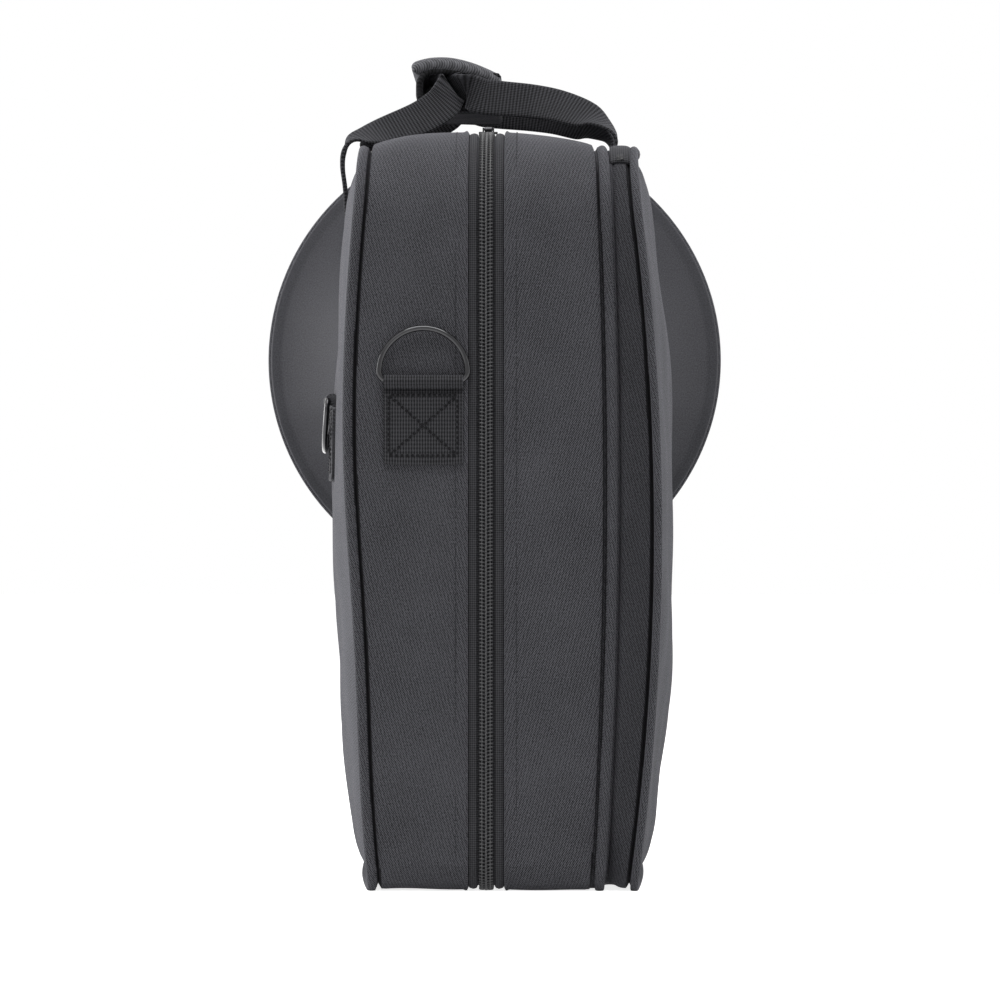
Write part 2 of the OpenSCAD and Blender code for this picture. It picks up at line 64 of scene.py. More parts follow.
def lamp(name, place, target, size, power):
    """A square soft lamp at a place, turned to face a target."""
    data = bpy.data.lights.new(name, "AREA")
    data.shape = "SQUARE"
    data.size = size
    data.energy = power
    thing = bpy.data.objects.new(name, data)
    thing.location = place
    thing.rotation_euler = (Vector(target) - Vector(place)).to_track_quat("-Z", "Y").to_euler()
    bpy.context.collection.objects.link(thing)


case_middle = (0.0, 0.0, 0.27)
lamp("lamp_left", (-1.9, 0.35, 0.5), case_middle, 1.3, 36.0)
lamp("lamp_right", (1.9, 0.1, 0.5), case_middle, 1.3, 18.0)
lamp("lamp_above", (0.0, -0.6, 1.9), case_middle, 1.4, 32.0)
lamp("lamp_front", (-1.0, -2.5, 1.7), case_middle, 1.2, 6.0)


def seen_directly(tree):
    """1 for rays from the camera and for rays that metal or glass sends on, else 0."""
    path = tree.nodes.new("ShaderNodeLightPath")
    first = tree.nodes.new("ShaderNodeMath")
    first.operation = "MAXIMUM"
    tree.links.new(path.outputs["Is Camera Ray"], first.inputs[0])
    tree.links.new(path.outputs["Is Glossy Ray"], first.inputs[1])
    both = tree.nodes.new("ShaderNodeMath")
    both.operation = "MAXIMUM"
    tree.links.new(first.outputs[0], both.inputs[0])
    tree.links.new(path.outputs["Is Transmission Ray"], both.inputs[1])
    return both.outputs[0]


world = bpy.data.worlds.new("studio")
bpy.context.scene.world = world
world.use_nodes = True
world_tree = world.node_tree
world_tree.nodes.clear()
world_out = world_tree.nodes.new("ShaderNodeOutputWorld")
ambient = world_tree.nodes.new("ShaderNodeBackground")
ambient.inputs["Strength"].default_value = ambient_strength
ambient.inputs["Color"].default_value = (1.0, 1.0, 1.0, 1.0)
white = world_tree.nodes.new("ShaderNodeBackground")
white.inputs["Color"].default_value = (1.0, 1.0, 1.0, 1.0)
white.inputs["Strength"].default_value = 1.0
world_mix = world_tree.nodes.new("ShaderNodeMixShader")
world_tree.links.new(seen_directly(world_tree), world_mix.inputs[0])
world_tree.links.new(ambient.outputs[0], world_mix.inputs[1])
world_tree.links.new(white.outputs[0], world_mix.inputs[2])
world_tree.links.new(world_mix.outputs[0], world_out.inputs[0])

# The floor's own white is added for the same rays, so that only the object's shadow stays on it.
floor_mesh = bpy.data.meshes.new("floor")
floor_half = 9.0
floor_mesh.from_pydata(
    [(-floor_half, -floor_half, 0), (floor_half, -floor_half, 0),
     (floor_half, floor_half, 0), (-floor_half, floor_half, 0)], [], [(0, 1, 2, 3)])
floor = bpy.data.objects.new("floor", floor_mesh)
bpy.context.collection.objects.link(floor)
floor_material = bpy.data.materials.new("white_floor")
floor_material.use_nodes = True
floor_tree = floor_material.node_tree
floor_bsdf = floor_tree.nodes["Principled BSDF"]
floor_bsdf.inputs["Base Color"].default_value = (0.93, 0.93, 0.93, 1.0)
floor_bsdf.inputs["Roughness"].default_value = 0.9
floor_bsdf.inputs["Specular IOR Level"].default_value = 0.1
floor_glow = floor_tree.nodes.new("ShaderNodeMath")
floor_glow.operation = "MULTIPLY"
floor_glow.inputs[1].default_value = floor_own_white
floor_tree.links.new(seen_directly(floor_tree), floor_glow.inputs[0])
floor_bsdf.inputs["Emission Color"].default_value = (1.0, 1.0, 1.0, 1.0)
floor_tree.links.new(floor_glow.outputs[0], floor_bsdf.inputs["Emission Strength"])
floor_mesh.materials.append(floor_material)
bpy.context.scene.view_settings.view_transform = "Standard"

# ---------------------------------------------------------------------------
# Gussets
# The narrow wall that runs round each half: polyester twill over foam board, folded over
# and stitched beside the zip, and sewn to the large panel with a piped seam.
# ---------------------------------------------------------------------------
body_corners = [
    (0.0, 0.0, 0.018),
    (0.372, 0.0, 0.070),
    (0.475, 0.205, 0.030),
    (0.475, 0.522, 0.016),
    (0.0, 0.500, 0.062),
]
left_crown, left_crown_r = 0.1105, 2.0
right_crown, right_crown_r = 0.092, 4.0
body_middle = (0.265, 0.265)
fold_x = 0.0118
seam_gap = 0.0005
top_sink, front_sink = 0.0105, 0.0020
cloth_t = 0.005


def outline(corners, inset=0.0, spacing=0.004):
    """Points and outward normals round a convex polygon whose rows are [y, z, radius].

    Each corner is an arc about the point at a distance radius from both its edges; arcs
    are joined by the straight edges, and all of it is cut into steps of about spacing.
    """
    c = np.array(corners)
    ahead = np.roll(c[:, :2], -1, axis=0) - c[:, :2]
    ahead /= np.linalg.norm(ahead, axis=1, keepdims=True)
    normal = np.stack([ahead[:, 1], -ahead[:, 0]], axis=1)
    before = np.roll(normal, 1, axis=0)
    bisector = (before + normal) / (1 + np.sum(before * normal, axis=1, keepdims=True))
    middle = c[:, :2] - bisector * c[:, 2:3]
    points, normals = [], []
    for i in range(len(c)):
        start = np.arctan2(before[i, 1], before[i, 0])
        turn = (np.arctan2(normal[i, 1], normal[i, 0]) - start) % (2 * np.pi)
        steps = max(6, int(np.ceil(turn * c[i, 2] / spacing)))
        angle = start + turn * np.linspace(0, 1, steps + 1)
        way = np.stack([np.cos(angle), np.sin(angle)], axis=1)
        points.append(middle[i] + way * (c[i, 2] - inset))
        normals.append(way)
        j = (i + 1) % len(c)
        a = middle[i] + normal[i] * (c[i, 2] - inset)
        b = middle[j] + normal[i] * (c[j, 2] - inset)
        steps = max(2, int(np.ceil(np.linalg.norm(b - a) / spacing)))
        t = np.linspace(0, 1, steps + 1)[1:-1, None]
        points.append(a + (b - a) * t)
        normals.append(np.repeat(normal[i:i + 1], len(t), axis=0))
    return np.concatenate(points), np.concatenate(normals)


edge_draw, edge_band, edge_top = 0.0065, 0.040, 0.460
front_slack, slack_z, slack_spread, slack_depth = 0.0062, 0.160, 0.110, 0.120


def bell(distance, width):
    """1 at no distance, fading to each side as e to the minus square of distance over width."""
    return np.exp(-(distance / width) ** 2)


def crown_height(reach, radius, p, middle=body_middle):
    """Distance of a crowned panel from the zip line over points [y, z].

    A shallow ball cap, less a pull towards the zip that grows as the square of the distance into
    a band along the bottom and the top, and is greatest at mid-length. On the left half the front
    also hangs in by a bell over the height that fades with the square of the distance behind it.
    """
    d = p - np.array(middle)
    into = np.maximum(1 - p[..., 1] / edge_band, (p[..., 1] - edge_top) / edge_band)
    pull = edge_draw * np.maximum(into, 0) ** 2 * np.maximum(1 - (d[..., 0] / middle[0]) ** 2, 0)
    if reach == left_crown:
        low = bell(p[..., 1] - slack_z, slack_spread)
        pull = pull + front_slack * low * np.clip(1 - p[..., 0] / slack_depth, 0, 1) ** 2
    return reach - radius + np.sqrt(radius ** 2 - np.sum(d * d, axis=-1)) - pull


def cloth_waves(p, size=0.0006):
    """Slow unevenness of cloth drawn over foam: a sum of a few crossed sine waves."""
    x, y, z = p[..., 0], p[..., 1], p[..., 2]
    return size * (np.sin(31 * z + 17 * x + 9 * y) + 0.7 * np.sin(57 * z - 38 * x + 23 * y + 1.3)
                   + 0.5 * np.sin(88 * y + 41 * x + 2.1 * np.sin(19 * z)))


def grid_mesh(name, points, uv, wrap_u=False, flip=False):
    """A mesh from a grid of points (rows, columns, 3), with a UV map called weave in metres.

    Quads join neighbours; the rows close on themselves if wrap_u. The UV of a closing row
    goes on past the last, so that the pattern doesn't jump back.
    """
    rows, cols = points.shape[:2]
    index = np.arange(rows * cols).reshape(rows, cols)
    if wrap_u:
        index = np.concatenate([index, index[:1]], axis=0)
    a, b = index[:-1, :-1], index[1:, :-1]
    c, d = index[1:, 1:], index[:-1, 1:]
    quads = np.stack([a, b, c, d] if not flip else [a, d, c, b], axis=-1).reshape(-1, 4)
    mesh = bpy.data.meshes.new(name)
    mesh.from_pydata(points.reshape(-1, 3).tolist(), [], quads.tolist())
    layer = mesh.uv_layers.new(name="weave")
    u_rows = uv if not wrap_u else np.concatenate(
        [uv, uv[:1] + np.array([[[uv_length(uv), 0.0]]])], axis=0)
    u_index = np.arange(u_rows.shape[0] * cols).reshape(-1, cols)
    a, b = u_index[:-1, :-1], u_index[1:, :-1]
    c, d = u_index[1:, 1:], u_index[:-1, 1:]
    corners = np.stack([a, b, c, d] if not flip else [a, d, c, b], axis=-1).reshape(-1)
    layer.data.foreach_set("uv", u_rows.reshape(-1, 2)[corners].reshape(-1))
    mesh.polygons.foreach_set("use_smooth", np.ones(len(quads), dtype=bool))
    mesh.update()
    thing = bpy.data.objects.new(name, mesh)
    bpy.context.collection.objects.link(thing)
    return thing


def uv_length(uv):
    """Length by which a closed pattern runs on: its last step repeated once."""
    return uv[-1, 0, 0] - uv[0, 0, 0] + (uv[1, 0, 0] - uv[0, 0, 0])


def run_length(points):
    """Distance along a row of points from its first one."""
    steps = np.linalg.norm(np.diff(points, axis=0), axis=1)
    return np.concatenate([[0.0], np.cumsum(steps)])


def thicken(thing, amount):
    """Gives a sheet its thickness, on its inner side."""
    solid = thing.modifiers.new("thickness", "SOLIDIFY")
    solid.thickness = amount
    solid.offset = -1.0
    solid.use_rim = True


def crown_of(side):
    """Reach and ball radius of the crowned panel on one side of the zip line."""
    return (left_crown, left_crown_r) if side < 0 else (right_crown, right_crown_r)


def facing(part):
    """Square of the part of a normal in one direction, or 0 where it looks the other way."""
    return np.clip(part, 0, 1) ** 2


def gusset_sag(normals, t):
    """How far the gusset's cloth lies inside the outline, at t from 0 at the fold to 1 at the piping.

    Along the top the wall is arched, so it drops towards the piping; the front is nearly flat,
    and under the case the cloth is drawn up a little between the seams.
    """
    up, ahead, down = facing(normals[:, 1:2]), facing(-normals[:, 0:1]), facing(-normals[:, 1:2])
    return (top_sink * up + front_sink * ahead) * t ** 2.2 + 0.0004 * down * (1 - t ** 6)


def gusset_point(side, outline_points, normals, x_from_zip, edge_x):
    """Point on the gusset's outer face at a distance from the zip line."""
    t = np.clip((x_from_zip - fold_x) / (edge_x - fold_x), 0, 1)
    sag = gusset_sag(normals, t)
    yz = outline_points[:, None, :] - normals[:, None, :] * sag[..., None]
    x = np.broadcast_to(side * x_from_zip, sag.shape)
    return np.stack([x, yz[..., 0], yz[..., 1]], axis=-1)


crease_depth, crease_at, crease_width = 0.0046, 0.0044, 0.0012


def beside_piping(distance):
    """Depth of the crease that a piped seam pulls into the cloth, by distance from the seam."""
    return crease_depth * bell(distance - crease_at, crease_width)


# Middle and half width of the strip of painted shade beside a piped seam, by distance from the seam.
seam_shade_at, seam_shade_half = 0.0046, 0.0013


def paint_seam_shade(thing, distance, materials):
    """Gives the strip of a grid's faces beside a seam the second of two materials, a near-black cloth
    painted in as the seam's shade.
    """
    for material in materials:
        thing.data.materials.append(material)
    middle = (distance[:, :-1] + distance[:, 1:]) / 2
    seam_shade_strip = np.abs(middle - seam_shade_at) < seam_shade_half
    thing.data.polygons.foreach_set("material_index", seam_shade_strip.astype(np.int32).reshape(-1))


lip_drop, lip_reach = 0.0014, 0.008
ridge_rise, ridge_at, ridge_width = 0.0010, 0.024, 0.016


def make_gusset(side, name, materials):
    """Outer face of one gusset: the outline swept from the zip fold out to the piping.

    The folded edge dips by a lip that fades exponentially, and a bell-shaped ridge runs beside it;
    both are measured in shares of the gusset's width.
    """
    reach, radius = crown_of(side)
    yz, normals = outline(body_corners)
    edge = (crown_height(reach, radius, yz) - seam_gap)[:, None]
    t = np.concatenate([[0.0, 0.006, 0.012, 0.02, 0.03, 0.045, 0.06, 0.08], np.linspace(0.1, 0.9, 17),
                        np.linspace(0.915, 1.0, 14)])[None, :]
    across = fold_x + (edge - fold_x) * t
    p = gusset_point(side, yz, normals, across, edge)
    lip = lip_drop * np.exp(-t / lip_reach)
    ridge = ridge_rise * bell(t - ridge_at, ridge_width)
    p[..., 1:] -= normals[:, None, :] * (lip - ridge + beside_piping(edge - across))[..., None]
    p[..., 1:] += normals[:, None, :] * cloth_waves(p)[..., None] * np.sin(np.pi * t)[..., None]
    along = run_length(yz)
    uv = np.stack([np.broadcast_to(along[:, None], across.shape), across], axis=-1)
    p[..., 1] += front_y
    thing = grid_mesh(name, p, uv, wrap_u=True, flip=side < 0)
    # The strip beside the piping gets the near-black cloth as painted shade.
    paint_seam_shade(thing, edge - across, materials)
    thicken(thing, cloth_t)
    return thing


def math_node(tree, operation, *values):
    """Output of a Math node whose inputs are sockets or numbers."""
    node = tree.nodes.new("ShaderNodeMath")
    node.operation = operation
    for socket, value in zip(node.inputs, values):
        if isinstance(value, (int, float)):
            socket.default_value = value
        else:
            tree.links.new(value, socket)
    return node.outputs[0]


def threads(tree, split, along_u, along_v, pitch):
    """Sine, from -1 to 1, that repeats every pitch along a direction of the cloth."""
    turn = 2 * np.pi / pitch
    first = math_node(tree, "MULTIPLY", split.outputs["X"], along_u * turn)
    both = math_node(tree, "MULTIPLY_ADD", split.outputs["Y"], along_v * turn, first)
    return math_node(tree, "SINE", both)


def woven_base(name, rough, sheen, specular):
    """A cloth-like Principled material with the weave UV map split into its two directions."""
    material = bpy.data.materials.new(name)
    material.use_nodes = True
    tree = material.node_tree
    bsdf = tree.nodes["Principled BSDF"]
    bsdf.inputs["Roughness"].default_value = rough
    bsdf.inputs["Specular IOR Level"].default_value = specular
    bsdf.inputs["Sheen Weight"].default_value = sheen
    bsdf.inputs["Sheen Roughness"].default_value = 0.4
    bsdf.inputs["Sheen Tint"].default_value = (0.9, 0.9, 1.0, 1.0)
    uv = tree.nodes.new("ShaderNodeUVMap")
    uv.uv_map = "weave"
    split = tree.nodes.new("ShaderNodeSeparateXYZ")
    tree.links.new(uv.outputs["UV"], split.inputs[0])
    return material, tree, bsdf, uv, split


def noise_of(tree, uv, size, detail):
    """Noise over the cloth whose blobs are about size across, 0 to 1."""
    noise = tree.nodes.new("ShaderNodeTexNoise")
    noise.inputs["Scale"].default_value = 1.0 / size
    noise.inputs["Detail"].default_value = detail
    noise.inputs["Roughness"].default_value = 0.6
    tree.links.new(uv.outputs["UV"], noise.inputs["Vector"])
    return noise.outputs["Fac"]


def colour_by(tree, bsdf, amount, colour, darkest, lightest, first=0.0, last=1.0):
    """Base colour that runs between two multiples of a colour while amount goes from first to last."""
    ramp = tree.nodes.new("ShaderNodeValToRGB")
    for element, place, share in zip(ramp.color_ramp.elements, (first, last), (darkest, lightest)):
        element.position = place
        element.color = (*[c * share for c in colour], 1.0)
    tree.links.new(amount, ramp.inputs[0])
    tree.links.new(ramp.outputs[0], bsdf.inputs["Base Color"])


def finish_cloth(tree, bsdf, uv, height, colour, depth, tint_size, contrast):
    """Colours a weave by its height, darker where lower as painted shade in the hollows between
    threads, and by slow patches of wear, and raises it as a bump.

    The colour runs from (1 - contrast) to (1 + contrast) of the given one.
    """
    patches = noise_of(tree, uv, tint_size, 4.0)
    # Lower threads are coloured darker: painted shade in the weave's hollows, with painted light on
    # its crests.
    shade = math_node(tree, "MULTIPLY_ADD", height, 0.8, math_node(tree, "MULTIPLY", patches, 0.2))
    colour_by(tree, bsdf, shade, colour, 1 - contrast, 1 + contrast, 0.26, 0.74)
    bump = tree.nodes.new("ShaderNodeBump")
    bump.inputs["Strength"].default_value = 1.0
    bump.inputs["Distance"].default_value = depth
    tree.links.new(height, bump.inputs["Height"])
    tree.links.new(bump.outputs[0], bsdf.inputs["Normal"])


def twill(name, colour, thread=0.00108, depth=0.00022, sheen=0.15, rough=0.8, tint_size=0.05,
          contrast=0.95):
    """Woven cloth: two crossed sets of threads, a diagonal rib and a little fluff."""
    material, tree, bsdf, uv, split = woven_base(name, rough, sheen, 0.12)
    crossed = math_node(tree, "MULTIPLY", threads(tree, split, 1.0, 0.0, thread),
                        threads(tree, split, 0.87, -0.5, thread))
    rib = threads(tree, split, 0.62, 0.785, thread)
    height = math_node(tree, "MULTIPLY_ADD", crossed, 0.2, 0.5)
    height = math_node(tree, "MULTIPLY_ADD", rib, 0.26, height)
    fluff = math_node(tree, "SUBTRACT", noise_of(tree, uv, 0.0012, 3.0), 0.5)
    height = math_node(tree, "MULTIPLY_ADD", fluff, 1.1, height)
    finish_cloth(tree, bsdf, uv, height, colour, depth, tint_size, contrast)
    return material


def webbing(name, colour, depth, rib=0.0024, thread=0.0012, rough=0.7, rib_share=0.32,
            thread_share=0.16, contrast=0.8):
    """Heavy tape: ribs straight across its length, broken up by the threads that run along it."""
    material, tree, bsdf, uv, split = woven_base(name, rough, 0.1, 0.12)
    ribs = threads(tree, split, 1.0, 0.0, rib)
    along = threads(tree, split, 0.0, 1.0, thread)
    height = math_node(tree, "MULTIPLY_ADD", ribs, rib_share, 0.5)
    height = math_node(tree, "MULTIPLY_ADD", along, thread_share, height)
    fluff = math_node(tree, "SUBTRACT", noise_of(tree, uv, 0.0008, 2.0), 0.5)
    height = math_node(tree, "MULTIPLY_ADD", fluff, 0.4, height)
    finish_cloth(tree, bsdf, uv, height, colour, depth, 0.03, contrast)
    return material


cloth = twill("charcoal_twill", (0.052, 0.052, 0.058))
# A near-black copy of the cloth, painted into the strip beside each piped seam as its shade.
seam_shadow_cloth = twill("seam_shadow_twill", (0.006, 0.006, 0.007), sheen=0.05)
for side, name in ((-1, "left"), (1, "right")):
    gusset = make_gusset(side, name + "_gusset_cloth", (cloth, seam_shadow_cloth))
    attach(gusset, "base" if side < 0 else "lid")
    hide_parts(name + "_gusset")

# ---------------------------------------------------------------------------
# Drum
# The round flared end that takes the instrument's bell: foam moulded to a bell curve and
# faced with smooth cloth, a straight band behind the rim, and a rounded end cap.
# ---------------------------------------------------------------------------
drum_z = 0.363
drum_r = 0.170
band_growth = 0.002
throat_y = 0.350
throat_r = 0.095
flare_r = 0.135
drum_back = 0.542
cap_corner_r = 0.016
flare_centre = throat_r + flare_r
rim_y = throat_y + np.sqrt(flare_r ** 2 - (flare_centre - drum_r) ** 2)
drum_edge_x = 0.012
shell_t = 0.0055
streak_size = 0.0004


def flare_radius(y):
    """Radius of the drum's outside at a depth: a circle's arc up to the rim, then the band."""
    reach = np.clip(y - throat_y, 0, flare_r)
    arc = flare_centre - np.sqrt(flare_r ** 2 - reach ** 2)
    return np.where(y < rim_y, np.where(y < throat_y, 0.0, arc), drum_r + band_growth)


def inside_drum(p, margin=0.0025):
    """True for points [x, y, z], in the case's own depth, that lie within the drum's wall."""
    away = np.hypot(p[..., 0], p[..., 2] - drum_z)
    return away < flare_radius(p[..., 1]) - margin


def turned(profile, side, edge_x, steps):
    """Grid of a profile [radius, y] turned about the drum's axis, on one side of the zip line.

    Each ring starts and ends at a distance edge_x from the zip line.
    """
    r, y = profile[:, 0:1], profile[:, 1:2]
    start = np.arcsin(np.clip(edge_x / np.maximum(r, 1e-6), 0, 1))
    s = np.linspace(0, 1, steps)[None, :]
    angle = start + (np.pi - 2 * start) * s
    x = side * r * np.sin(angle)
    z = drum_z + r * np.cos(angle)
    return np.stack([x, np.broadcast_to(y, x.shape), z], axis=-1), angle


def arc_points(centre, radius, first, last, steps):
    """Points [radius, y] along a circle's arc between two angles in degrees."""
    angle = np.radians(np.linspace(first, last, steps))
    return np.stack([centre[0] + radius * np.cos(angle), centre[1] + radius * np.sin(angle)], axis=1)


def make_drum_piece(name, profile, side):
    """One moulded piece of the drum with its wall thickness and faint waves round it."""
    p, angle = turned(profile, side, drum_edge_x, 150)
    streak = streak_size * (np.sin(9 * angle + 1.0) + 0.6 * np.sin(23 * angle + 0.4))
    p[..., 1] += streak
    along = run_length(profile)[:, None]
    uv = np.stack([np.broadcast_to(along, angle.shape), angle * 0.16], axis=-1)
    p[..., 1] += front_y
    thing = grid_mesh(name, p, uv, flip=side > 0)
    thicken(thing, shell_t)
    return thing


moulded = twill("moulded_cloth", (0.040, 0.040, 0.045), thread=0.0004, depth=0.00002, sheen=0.1,
                rough=0.62, tint_size=0.09, contrast=0.5)
flare_sweep = np.degrees(np.arcsin((rim_y - throat_y) / flare_r))
flare_profile = arc_points((flare_centre, throat_y), flare_r, 180.0, 180.0 - flare_sweep, 42)
lip = arc_points((drum_r - 0.0030, rim_y - 0.0006), 0.0030, -62.0, 20.0, 7)
flare_profile = np.concatenate([flare_profile[:-2], lip])
back_r = drum_r + band_growth
band_profile = np.stack([np.linspace(drum_r - 0.0006, back_r, 12),
                         np.linspace(rim_y + 0.0025, drum_back - cap_corner_r, 12)], axis=1)
band_profile[0, 0] -= 0.0016
cap_profile = np.concatenate([
    [[back_r - 0.0012, drum_back - cap_corner_r - 0.0002]],
    arc_points((back_r - cap_corner_r, drum_back - cap_corner_r), cap_corner_r, 2.0, 90.0, 12),
    np.stack([np.linspace(back_r - cap_corner_r, 0.0125, 26)[1:],
              drum_back - 0.0006 * np.cos(np.linspace(0, np.pi / 2, 25))], axis=1)])
for side, name in ((-1, "left"), (1, "right")):
    body = "base" if side < 0 else "lid"
    for part, profile in (("flare", flare_profile), ("drum_band", band_profile),
                          ("end_cap", cap_profile)):
        piece = make_drum_piece(f"{name}_{part}_shell", profile, side)
        piece.data.materials.append(moulded)
        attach(piece, body)
        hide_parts(f"{name}_{part}")

# ---------------------------------------------------------------------------
# Large side panels
# Twill over foam board, crowned outwards like a cushion and drawn down into the piped seam.
# ---------------------------------------------------------------------------


def drop_hidden(thing, hidden):
    """Deletes faces whose corners are all marked hidden, and merges points that coincide."""
    work = bmesh.new()
    work.from_mesh(thing.data)
    work.verts.ensure_lookup_table()
    gone = [f for f in work.faces if all(hidden[v.index] for v in f.verts)]
    bmesh.ops.delete(work, geom=gone, context="FACES")
    loose = [v for v in work.verts if not v.link_faces]
    bmesh.ops.delete(work, geom=loose, context="VERTS")
    bmesh.ops.remove_doubles(work, verts=work.verts, dist=1e-6)
    work.to_mesh(thing.data)
    work.free()
    thing.data.update()


tuck_depth, tuck_reach = 0.0048, 0.007


def panel_grid(corners, reach, radius, sink, crest=body_middle, seam_drop=0.0055, seam_reach=0.008):
    """Points of a crowned panel: rings that shrink from the outline to its middle.

    The height is the ball cap less a drop that fades away from the seam exponentially. The edge
    lies inside the outline by the sink, and by a little more under the piping.
    """
    yz, normals = outline(corners)
    middle = np.array([yz[:, 0].mean(), yz[:, 1].mean()])
    t = np.concatenate([np.linspace(0, 0.12, 22)[:-1], np.linspace(0.12, 1.0, 70)])
    flat = yz[:, None, :] + (middle - yz)[:, None, :] * t[None, :, None]
    from_seam = np.sum((middle - yz) * -normals, axis=1)[:, None] * t[None, :]
    height = crown_height(reach, radius, flat, crest)
    height -= seam_drop * np.exp(-from_seam / seam_reach)
    inward = sink(normals)[:, None] * np.exp(-from_seam / 0.05) * (1 - t[None, :] ** 4)
    inward += tuck_depth * np.exp(-from_seam / tuck_reach)
    return flat - normals[:, None, :] * inward[..., None], height, from_seam, normals


def make_panel(name, corners, side, reach, radius):
    """A crowned panel from its seam to its middle, with slow waves in the cloth."""
    yz, height, from_seam, normals = panel_grid(corners, reach, radius, seam_sink)
    p = np.stack([side * height, yz[..., 0], yz[..., 1]], axis=-1)
    p[..., 0] += side * cloth_waves(p, 0.0009) * (1 - np.exp(-from_seam / 0.02))
    hidden = inside_drum(p).reshape(-1)
    uv = np.stack([p[..., 1], p[..., 2]], axis=-1)
    p[..., 1] += front_y
    thing = grid_mesh(name, p, uv, wrap_u=True, flip=side < 0)
    drop_hidden(thing, hidden)
    thicken(thing, cloth_t)
    return thing


def seam_sink(normals):
    """How far the piped seam lies inside the outline: most along the top, a little in front."""
    return top_sink * facing(normals[:, 1]) + front_sink * facing(-normals[:, 0])


for side, name in ((-1, "left"), (1, "right")):
    reach, radius = crown_of(side)
    panel = make_panel(name + "_panel_cloth", body_corners, side, reach, radius)
    panel.data.materials.append(cloth)
    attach(panel, "base" if side < 0 else "lid")
    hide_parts(name + "_side_panel")

# ---------------------------------------------------------------------------
# Piping
# A cord covered in the same cloth, sewn into the seams between gussets and panels, and a
# thinner one round the drum's rim.
# ---------------------------------------------------------------------------


def tube_grid(path, radius, sides, closed, guide):
    """Rings of points round a path of middles [x, y, z], square to its direction."""
    if closed:
        run = np.roll(path, -1, axis=0) - np.roll(path, 1, axis=0)
    else:
        run = np.gradient(path, axis=0)
    run /= np.linalg.norm(run, axis=1, keepdims=True)
    guide = np.array(guide)
    u = guide - run * (run @ guide)[:, None]
    u /= np.linalg.norm(u, axis=1, keepdims=True)
    v = np.cross(run, u)
    angle = np.linspace(0, 2 * np.pi, sides + 1)[None, :]
    radius = np.broadcast_to(np.asarray(radius, dtype=float), (len(path),))[:, None]
    offset = (np.cos(angle) * radius)[..., None] * u[:, None] + \
        (np.sin(angle) * radius)[..., None] * v[:, None]
    return path[:, None, :] + offset, angle


def make_tube(name, path, radius, sides=14, closed=True, guide=(1.0, 0.0, 0.0)):
    """A tube swept along a path that never runs along guide, capped at its ends if it is open."""
    grid, angle = tube_grid(path, radius, sides, closed, guide)
    along = run_length(path)[:, None]
    around = np.broadcast_to(angle * np.mean(radius), grid.shape[:2])
    uv = np.stack([np.broadcast_to(along, around.shape), around], axis=-1)
    thing = grid_mesh(name, grid, uv, wrap_u=closed)
    weld(thing, caps=not closed)
    return thing


def weld(thing, caps=False):
    """Merges doubled points, closes open ends with a face and turns the faces outwards."""
    work = bmesh.new()
    work.from_mesh(thing.data)
    bmesh.ops.remove_doubles(work, verts=work.verts, dist=1e-6)
    if caps:
        edges = [e for e in work.edges if len(e.link_faces) == 1]
        bmesh.ops.holes_fill(work, edges=edges, sides=0)
    bmesh.ops.recalc_face_normals(work, faces=work.faces)
    work.to_mesh(thing.data)
    work.free()
    thing.data.update()


piping_r = 0.0032
rim_cord_r = 0.0019
piping_lift = 0.0022


def seam_path(corners, side, reach, radius):
    """Middle line of a piped seam: on the panel's edge, a little inside the outline."""
    yz, normals = outline(corners, spacing=0.003)
    x = crown_height(reach, radius, yz)
    yz = yz - normals * (seam_sink(normals)[:, None] + 0.0016)
    return np.stack([side * (x - 0.0012 + piping_lift * 0.5), yz[:, 0], yz[:, 1]], axis=1)


def outside_run(path):
    """The stretch of a closed path that lies outside the drum, in order."""
    hidden = inside_drum(path, 0.002)
    if not hidden.any():
        return path, True
    start = np.flatnonzero(hidden & ~np.roll(hidden, -1))[0]
    path = np.roll(path, -start, axis=0)
    hidden = np.roll(hidden, -start)
    last = np.flatnonzero(hidden[1:])
    return path[:(last[0] + 2 if len(last) else len(path))], False


for side, name in ((-1, "left"), (1, "right")):
    reach, radius = crown_of(side)
    path, whole = outside_run(seam_path(body_corners, side, reach, radius))
    path[:, 1] += front_y
    cord = make_tube(name + "_piping_cord", path, piping_r, closed=whole)
    cord.data.materials.append(cloth)
    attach(cord, "base" if side < 0 else "lid")
    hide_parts(name + "_piping")
    start = np.arcsin(drum_edge_x / drum_r)
    angle = np.linspace(start, np.pi - start, 180)
    rim = np.stack([side * drum_r * np.sin(angle), np.full(180, front_y + rim_y + 0.0012),
                    drum_z + drum_r * np.cos(angle)], axis=1)
    rim_cord = make_tube(name + "_rim_cord", rim, rim_cord_r, sides=10, closed=False)
    rim_cord.data.materials.append(cloth)
    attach(rim_cord, "base" if side < 0 else "lid")
    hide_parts(name + "_rim_piping")

# ---------------------------------------------------------------------------
# Zip
# Woven tapes sewn under the folded edges, and two rows of nylon coil that mesh on the zip
# line; it runs up the front, over the top and the drum and down the back to the cloth hinge.
# ---------------------------------------------------------------------------
hinge_front, hinge_back, hinge_width = 0.062, 0.300, 0.030
tooth_pitch = 0.0024
overhang_y = 0.4675
tape_from, tape_to, tape_t = 0.0006, 0.0128, 0.0013
leg_from, leg_to, leg_slant = 0.0006, 0.0049, 0.0006
head_from, head_to = -0.0009, 0.0012
coil_core_x, coil_core_r = 0.0027, 0.0005
teeth_clear = 0.008


